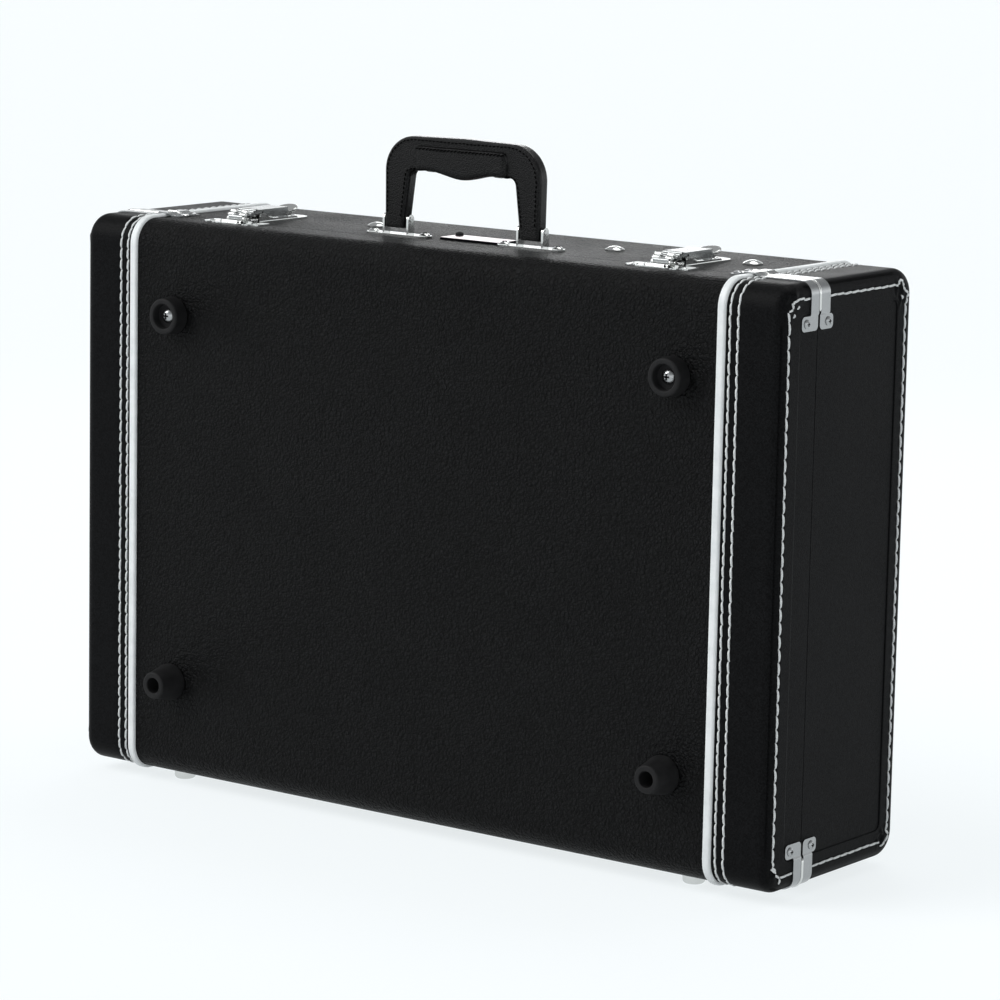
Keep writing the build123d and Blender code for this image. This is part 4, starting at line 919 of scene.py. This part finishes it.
def surface_of(*nodes):
    """A tree that rays can be cast on, of one or more nodes."""
    vertices, faces = [], []
    for node in nodes:
        start = len(vertices)
        vertices += [Vector(p) for p in node_points(node)]
        faces += [[start + v for v in polygon.vertices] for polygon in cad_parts[node].data.polygons]
    return BVHTree.FromPolygons(vertices, faces)


def loose_parts(node):
    """The lowest and highest corner of each of a node's separate solids."""
    points, place = np.unique(node_points(node).round(6), axis=0, return_inverse=True)
    place = place.ravel()
    edges = np.array([place[list(edge.vertices)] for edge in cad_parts[node].data.edges])
    label = np.arange(len(points))
    while True:
        before = label.copy()
        low = np.minimum(label[edges[:, 0]], label[edges[:, 1]])
        np.minimum.at(label, edges[:, 0], low)
        np.minimum.at(label, edges[:, 1], low)
        label = label[label]
        if (label == before).all():
            return [(points[label == k].min(0), points[label == k].max(0)) for k in np.unique(label)]


# ---------- Metal details ----------
def rib_rays():
    """Over the top, round the edge and down the end: where rays start and their way."""
    rays = [((x, TOP_Z + RAY_START), (0, -1)) for x in RIB_XS]
    flat, height = END_X - END_EDGE_RADIUS, TOP_Z - END_EDGE_RADIUS
    for angle in np.linspace(0, math.pi / 2, 9):
        x, z = math.sin(angle), math.cos(angle)
        rays.append(((flat + 30 * MM * x, height + 30 * MM * z), (-x, -z)))
    return rays + [((END_X + RAY_START, z), (-1, 0)) for z in RIB_ZS]


def strip_ribs():
    """The rounded bar along the seam edge of each of the lid's corner strips."""
    surface = surface_of("lid_corner_strips", "lid_piping")
    y = STRIP_SEAM_Y + 0.4 * MM
    bars = []
    for side in SIDES.values():
        for level in (-1, 1):
            path = []
            for (x, z), (dx, dz) in rib_rays():
                way = Vector((side * dx, 0, level * dz))
                hit = surface.ray_cast(Vector((side * x, y, MID_Z + level * (z - MID_Z))), way)[0]
                if hit is not None:
                    path.append(hit + way * 0.3 * MM - Vector((0, 1.6 * MM, 0)))
            radii = np.full(len(path), RIB_RADIUS)
            radii[[0, -1]] = RIB_RADIUS / 3
            bars.append(tube(path, radii))
    add_piece("lid_strip_ribs", *joined(bars), NICKEL, "lid", "nickel_plate")


def cross_mark(middle, axis, way, reach, depth=0.5 * MM):
    """A dark cross on a screw's head, of two crossed bars: painted shade where the cross recess would be."""
    across = [i for i in range(3) if i != axis]
    shapes = []
    for long, short in (across, across[::-1]):
        half = np.zeros(3)
        half[long], half[short], half[axis] = reach * 0.45, reach * 0.13, depth
        corners = np.array([[x, y, z] for x in (-1, 1) for y in (-1, 1) for z in (-1, 1)]) * half
        corners[:, axis] += way * (0.06 * MM - depth)
        faces = [(0, 1, 3, 2), (4, 6, 7, 5), (0, 4, 5, 1), (2, 3, 7, 6), (0, 2, 6, 4), (1, 5, 7, 3)]
        shapes.append((middle + corners, faces))
    return shapes


def screw_marks(name, node, axis, way, body):
    """Painted shade of the cross recess of every screw in a node, as a dark cross; way 0 means away from the
    middle.
    """
    shapes = []
    for low, high in loose_parts(node):
        middle = (low + high) / 2
        facing = way or math.copysign(1, middle[axis])
        middle[axis] = high[axis] if facing > 0 else low[axis]
        other = (axis + 1) % 3
        shapes += cross_mark(middle, axis, facing, (high[other] - low[other]) / 2)
    add_piece(name, *joined(shapes), PAINTED_RECESS_SHADE, body, "screw_steel", smooth=False)


def claw_ridges(side_name):
    """The rolled bars across a claw's nose, each parted in the middle."""
    low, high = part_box(f"latch_claw_{side_name}")
    middle, half_width = (low.x + high.x) / 2, (high.x - low.x) / 2
    taper = np.clip(np.sin(math.pi * np.linspace(0.06, 0.94, 9)) * 2.2, 0.3, 1)
    bars = []
    for y, z, radius in NOSE_BARS:
        for way in (-1, 1):
            path = [(middle + way * reach * half_width, y, z) for reach in np.linspace(0.16, 0.97, 9)]
            bars.append(tube(path, radius * taper, sides=12))
    add_piece(f"latch_claw_ridges_{side_name}", *joined(bars), NICKEL, f"claw_{side_name}", "nickel_plate")


def shaped_catch(side_name):
    """A catch with its plate cut back between the front tongue and the screw ears."""
    node = f"latch_catch_{side_name}"
    low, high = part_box(node)
    middle = (low.x + high.x) / 2
    faces = [tuple(f.vertices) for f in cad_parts[node].data.polygons]
    blank = put_in_scene(f"{node}_blank", mesh_of(f"{node}_blank", node_points(node), faces))
    outline = [(middle + x * MM, y * MM) for x, y in CATCH_CUT]
    outline += [(2 * middle - x, y) for x, y in outline[::-1]]
    plate = prism(outline, 2, low.z - MM, high.z + MM)
    cutter = put_in_scene("catch_cutter", mesh_of("catch_cutter", *plate))
    cut = blank.modifiers.new("cut", "BOOLEAN")
    cut.operation = "DIFFERENCE"
    cut.solver = "EXACT"
    cut.object = cutter
    made = baked(blank)
    bpy.data.objects.remove(cutter)
    faces = [tuple(f.vertices) for f in made.polygons]
    piece = add_piece(f"{node}_shaped", [v.co for v in made.vertices], faces, NICKEL, "base", "nickel_plate")
    piece.data.set_sharp_from_angle(angle=math.radians(35))
    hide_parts(node)


def catch_details(side_name):
    """The rolled front lip of a catch, and beside it two dark plugs that paint the shade of its holes."""
    low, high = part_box(f"latch_catch_{side_name}")
    middle = (low.x + high.x) / 2
    y, z = CATCH_LIP
    taper = np.clip(np.sin(math.pi * np.linspace(0.04, 0.96, 17)) * 3, 0.3, 1)
    path = [(x, y, z) for x in np.linspace(middle - CATCH_LIP_HALF, middle + CATCH_LIP_HALF, 17)]
    lip = tube(path, CATCH_LIP_RADIUS * taper, sides=14)
    add_piece(f"latch_catch_lip_{side_name}", *lip, NICKEL, "base", "nickel_plate")
    # Painted shade: short near-black bars stand where the holes are.
    holes = []
    for x in CATCH_HOLES:
        path = [(middle + x, y - depth, z + 0.1 * MM) for depth in (0.4 * MM, 1.62 * MM)]
        holes.append(tube(path, [1.0 * MM, 1.0 * MM], sides=14, frame_up=(0, 0, 1)))
    add_piece(f"latch_catch_holes_{side_name}", *joined(holes), PAINTED_RECESS_SHADE, "base", "screw_steel", smooth=False)


def plate_rivet():
    """The small black rivet at the back corner of the name plate."""
    low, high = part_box("name_plate")
    x, y = low.x + PLATE_RIVET_INSET, high.y - PLATE_RIVET_INSET
    path = [(x, y, high.z + height * MM) for height, _ in PLATE_RIVET]
    rivet = tube(path, [radius * MM for _, radius in PLATE_RIVET], sides=20)
    add_piece("name_plate_rivet", *rivet, RUBBER, "lid", "rubber")


# ---------- Handle ----------
def handle_edge(surface, middle, from_inside):
    """X and Z of points a little inside the handle's inner or outer edge."""
    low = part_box("handle_body")[0]
    edge = []
    for angle in np.linspace(math.radians(-17), math.radians(197), 150):
        way = Vector((math.cos(angle), 0, math.sin(angle)))
        if from_inside:
            hit, step = surface.ray_cast(middle, way)[0], HANDLE_ROW_INSET
        else:
            hit, step = surface.ray_cast(middle + way * 0.2, -way)[0], -HANDLE_ROW_INSET
        if hit is not None and hit.z > low.z + 10 * MM:
            edge.append((hit.x + way.x * step, hit.z + way.z * step))
    return edge


def face_row(surface, middle_y, points, normal, pitch, lean, chance):
    """Black stitches along points in X and Z, on the face that a normal looks out of."""
    facing = math.copysign(1, normal[1])
    path = []
    for x, z in points:
        start = Vector((x, middle_y + facing * 0.05, z))
        hit = surface.ray_cast(start, Vector((0, -facing, 0)))[0]
        if hit is not None:
            path.append((x, hit.y, z))
    normals = np.tile(normal, (len(path), 1))
    return row_of_stitches(np.array(path), normals, pitch, lean, chance, share=BLACK_THREAD_SHARE)


def handle_rows():
    """Rows of black thread along both edges of both faces of the handle."""
    surface = surface_of("handle_body")
    low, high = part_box("handle_body")
    middle = Vector((0, (low.y + high.y) / 2, OPENING_Z))
    chance = np.random.default_rng(31)
    stitches = []
    for from_inside in (True, False):
        edge = handle_edge(surface, middle, from_inside)
        for facing in (-1.0, 1.0):
            normal = (0.0, facing, 0.0)
            stitches += face_row(surface, middle.y, edge, normal, HANDLE_ROW_PITCH, 0.05, chance)
    add_black_stitches("handle_stitches", stitches)


def sleeve():
    """The padded grip: a plump sleeve with creases, drawn in at both ends."""
    low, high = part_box("handle_grip")
    surface = surface_of("handle_grip")
    chance = np.random.default_rng(41)
    swell = [(chance.uniform(3, 9), chance.uniform(0, 6.28), chance.integers(1, 4)) for _ in range(7)]
    xs = np.linspace(low.x + 0.2 * MM, high.x - 0.2 * MM, 70)
    vertices = []
    for x in xs:
        plump = 1 - 0.13 * math.exp(-min(x - low.x, high.x - x) / (2.2 * MM))
        centre = Vector((x, (low.y + high.y) / 2, GRIP_Z))
        for angle in turns(SLEEVE_SIDES):
            way = Vector((0, math.cos(angle), math.sin(angle)))
            hit = surface.ray_cast(centre + way * 0.05, -way)[0]
            reach = (hit - centre).length if hit is not None else 9 * MM
            crease = sum(math.sin(x / (k * MM) + shift + n * angle) for k, shift, n in swell) / len(swell)
            vertices.append(centre + way * (reach * plump + 0.3 * MM * (crease - 0.6)))
    faces = ring_faces(len(xs), SLEEVE_SIDES)
    piece = add_piece("handle_sleeve", vertices, faces, LEATHER, "handle", "handle_leather")
    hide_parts("handle_grip")


def sleeve_rows():
    """A row of black thread along the sleeve's upper edge, on both faces."""
    low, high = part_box("handle_grip")
    surface = surface_of("handle_grip")
    chance = np.random.default_rng(42)
    points = [(x, SLEEVE_ROW_Z) for x in np.linspace(low.x + 1.5 * MM, high.x - 1.5 * MM, 40)]
    stitches = []
    for facing in (-1, 1):
        normal = (0.0, 0.8 * facing, 0.6)
        middle_y = (low.y + high.y) / 2
        stitches += face_row(surface, middle_y, points, normal, SLEEVE_ROW_PITCH, 0.5, chance)
    add_black_stitches("handle_sleeve_stitches", stitches)


# ---------- Inside ----------
def tuft_places(low, high):
    """The X and Z of the pad's buttons."""
    return [(u * high.x, MID_Z + v * (high.z - low.z) / 2) for u, v in TUFTS]


def pad_start(low, high):
    """The pad before it swells, remeshed in even squares."""
    middle = (np.array(low) + np.array(high)) / 2
    points = (node_points("lid_foam") - middle) * PAD_START + middle
    points[:, 1] += high.y - points[:, 1].max()
    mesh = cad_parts["lid_foam"].data.copy()
    mesh.vertices.foreach_set("co", points.ravel())
    blank = put_in_scene("lid_pad_blank", mesh)
    remesh = blank.modifiers.new("even", "REMESH")
    remesh.mode = "VOXEL"
    remesh.voxel_size = PAD_VOXEL
    return baked(blank)


def swollen(mesh, low, high):
    """The pad's points after the simulation, scaled back so that they fit the lid."""
    pad = put_in_scene("lid_pad_cloth", mesh)
    rest = np.array([v.co for v in mesh.vertices])
    pins = pad.vertex_groups.new(name="pins")
    for index, (x, y, z) in enumerate(rest):
        from_button = min(math.hypot(x - tx, z - tz) for tx, tz in tuft_places(low, high))
        if from_button < PAD_VOXEL or y > high.y - 2 * MM:
            pins.add([index], 1.0, "REPLACE")
    cloth = pad.modifiers.new("cloth", "CLOTH")
    cloth.settings.use_pressure = True
    cloth.settings.uniform_pressure_force = PAD_PRESSURE
    cloth.settings.effector_weights.gravity = 0
    cloth.settings.vertex_group_mass = "pins"
    cloth.point_cache.frame_end = PAD_FRAMES
    for step in range(1, PAD_FRAMES + 1):
        bpy.context.scene.frame_set(step)
    moved = np.array([v.co for v in baked(pad).vertices]) - rest
    bpy.context.scene.frame_set(1)
    room = rest[:, 1].min() - low.y
    sideways = min(high.x - rest[:, 0].max(), high.z - rest[:, 2].max())
    moved[:, 1] *= room / max(1e-9, -moved[:, 1].min())
    moved[:, [0, 2]] *= sideways / max(np.abs(moved[:, [0, 2]]).max(), sideways)
    return rest + moved


def pad_buttons(low, high):
    buttons = []
    for x, z in tuft_places(low, high):
        path = [(x, low.y + y * MM, z) for y in (6.7, 5.2, 4.3, 3.7)]
        buttons.append(tube(path, [6 * MM, 6 * MM, 5 * MM, 2.4 * MM], sides=18, frame_up=(0, 0, 1)))
    add_piece("lid_pad_buttons", *joined(buttons), PLUSH, "lid", "plush")


def pad_cord(low, high):
    """The cord sewn into the pad's seam, all the way round."""
    half_x = high.x - 2.2 * MM - PAD_CORNER
    half_z = (high.z - low.z) / 2 - 2.2 * MM - PAD_CORNER
    path = []
    for turn, (sx, sz) in enumerate(((1, 1), (-1, 1), (-1, -1), (1, -1))):
        for angle in math.pi / 2 * turn + np.linspace(0, math.pi / 2, 7):
            x = sx * half_x + PAD_CORNER * math.cos(angle)
            z = MID_Z + sz * half_z + PAD_CORNER * math.sin(angle)
            path.append((x, high.y - 4.5 * MM, z))
    path.append(path[0])
    add_piece("lid_pad_cord", *tube(path, [CORD_RADIUS] * len(path), sides=8), PLUSH, "lid", "plush")


def lid_pad():
    """The pad in the lid: swollen cloth over foam, held by buttons and a corded seam."""
    low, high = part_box("lid_foam")
    mesh = pad_start(low, high)
    points = swollen(mesh.copy(), low, high)
    faces = [tuple(polygon.vertices) for polygon in mesh.polygons]
    pad = add_piece("lid_pad", points, faces, PLUSH, "lid", "plush")
    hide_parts("lid_foam")
    pad_buttons(low, high)
    pad_cord(low, high)


def carpet_pile():
    """The deck's loop carpet: rows of small loops that stand up unevenly."""
    low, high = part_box("deck_carpet")
    chance = np.random.default_rng(51)
    columns = int((high.x - low.x) / LOOP_PITCH)
    rows = int((high.z - low.z) / LOOP_PITCH)
    vertices = []
    for i, z in enumerate(np.linspace(low.z, high.z, rows)):
        for j, x in enumerate(np.linspace(low.x, high.x, columns)):
            edge = i in (0, rows - 1) or j in (0, columns - 1)
            sunk = 0.9 * MM if edge else (0.7 * MM * ((i + j) % 2) + chance.uniform(0, 0.4) * MM)
            vertices.append((x, high.y - sunk, z))
    grid = np.arange(rows * columns).reshape(rows, columns)
    rim = [int(k) for k in (*grid[0], *grid[1:, -1], *grid[-1, -2::-1], *grid[-2:0:-1, 0])]
    below = range(len(vertices), len(vertices) + len(rim))
    vertices += [(vertices[k][0], low.y, vertices[k][2]) for k in rim]
    faces = grid_faces(rows, columns) + [tuple(below)]
    faces += [(rim[k - 1], rim[k], below[k], below[k - 1]) for k in range(len(rim))]
    carpet = add_piece("deck_carpet_pile", vertices, faces, CARPET, "base", "loop_carpet")
    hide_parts("deck_carpet")


for half in (BASE, LID):
    piping_rows(half)
    end_rows(half)
    for side_name in SIDES:
        end_cover(half, side_name)
strip_ribs()
screw_marks("base_corner_screw_marks", "base_corner_screws", 0, 0, "base")
screw_marks("lid_corner_screw_marks", "lid_corner_screws", 0, 0, "lid")
screw_marks("foot_screw_marks", "foot_screws", 1, -1, "base")
screw_marks("mount_screw_marks", "handle_mount_screws", 2, 1, "lid")
for side_name in SIDES:
    claw_ridges(side_name)
    shaped_catch(side_name)
    catch_details(side_name)
plate_rivet()
handle_rows()
sleeve()
sleeve_rows()
lid_pad()
carpet_pile()


# ---------- Camera, floor and light ----------
def add_camera():
    camera = put_in_scene("camera", bpy.data.cameras.new("camera"))
    camera.data.lens = CAMERA_LENS
    camera.data.sensor_width = SENSOR_WIDTH
    camera.data.clip_end = 60
    azimuth, elevation = math.radians(CAMERA_AZIMUTH), math.radians(CAMERA_ELEVATION)
    level = math.cos(elevation)
    forward = Vector((-math.sin(azimuth) * level, math.cos(azimuth) * level, math.sin(elevation)))
    roll = Matrix.Rotation(-math.radians(CAMERA_ROLL), 3, "Z")
    turn = forward.to_track_quat("-Z", "Y").to_matrix() @ roll
    camera.matrix_world = Matrix.Translation(CAMERA_PLACE) @ turn.to_4x4()
    bpy.context.scene.camera = camera


def add_world():
    """A studio room that is brightest round the horizon."""
    world = bpy.data.worlds.new("studio")
    bpy.context.scene.world = world
    world.use_nodes = True
    nodes, links = world.node_tree.nodes, world.node_tree.links
    place = nodes.new("ShaderNodeTexCoord")
    split = nodes.new("ShaderNodeSeparateXYZ")
    links.new(place.outputs["Generated"], split.inputs[0])
    ramp = nodes.new("ShaderNodeMapRange")
    links.new(split.outputs["Z"], ramp.inputs["Value"])
    for name, value in (("From Min", 0.0), ("From Max", 0.42), ("To Min", 1.7), ("To Max", 0.4)):
        ramp.inputs[name].default_value = value
    room = nodes["Background"]
    room.inputs["Color"].default_value = (0.96, 0.985, 1.0, 1)
    links.new(ramp.outputs["Result"], room.inputs["Strength"])


def floor_material():
    """A pale floor that glows where the camera, metal or glass sees it."""
    finish = Finish("floor", (0.2, 0.205, 0.21), 0.9, Specular_IOR_Level=0.1)
    path = finish.node("ShaderNodeLightPath").outputs
    seen = finish.math("MAXIMUM", path["Is Camera Ray"], path["Is Glossy Ray"])
    seen = finish.math("MAXIMUM", seen, path["Is Transmission Ray"])
    glow = finish.node("ShaderNodeEmission", Color=(0.94, 0.985, 1.0, 1), Strength=0.81)
    bright = finish.node("ShaderNodeAddShader")
    finish.link(finish.shader.outputs[0], bright.inputs[0])
    finish.link(glow.outputs[0], bright.inputs[1])
    plain = finish.node("ShaderNodeBsdfDiffuse", Color=(0.75, 0.77, 0.78, 1))
    mix = finish.node("ShaderNodeMixShader")
    for source, socket in zip((seen, plain.outputs[0], bright.outputs[0]), mix.inputs):
        finish.link(source, socket)
    finish.link(mix.outputs[0], finish.tree.nodes["Material Output"].inputs["Surface"])
    return finish.material


def add_floor():
    """A wide floor that keeps the object's shadow."""
    corners = [(x * FLOOR_HALF, y * FLOOR_HALF, 0) for x, y in ((-1, -1), (1, -1), (1, 1), (-1, 1))]
    mesh = bpy.data.meshes.new("floor")
    mesh.from_pydata(corners, [], [(0, 1, 2, 3)])
    mesh.materials.append(floor_material())
    put_in_scene("floor", mesh)


def add_sun(place, strength, spread):
    light = bpy.data.lights.new("key", "SUN")
    light.energy = strength
    light.angle = math.radians(spread)
    lamp = put_in_scene("key", light)
    lamp.rotation_euler = Vector(place).to_track_quat("Z", "Y").to_euler()


def add_lamp(name, place, target, size, power):
    light = bpy.data.lights.new(name, "AREA")
    light.shape = "RECTANGLE"
    light.size, light.size_y = size
    light.energy = power
    lamp = put_in_scene(name, light)
    lamp.location = place
    lamp.rotation_euler = (Vector(target) - Vector(place)).to_track_quat("-Z", "Y").to_euler()


add_camera()
add_world()
add_floor()
add_sun(*SUN)
for lamp in LAMPS:
    add_lamp(*lamp)

bpy.context.scene.view_settings.view_transform = "Standard"
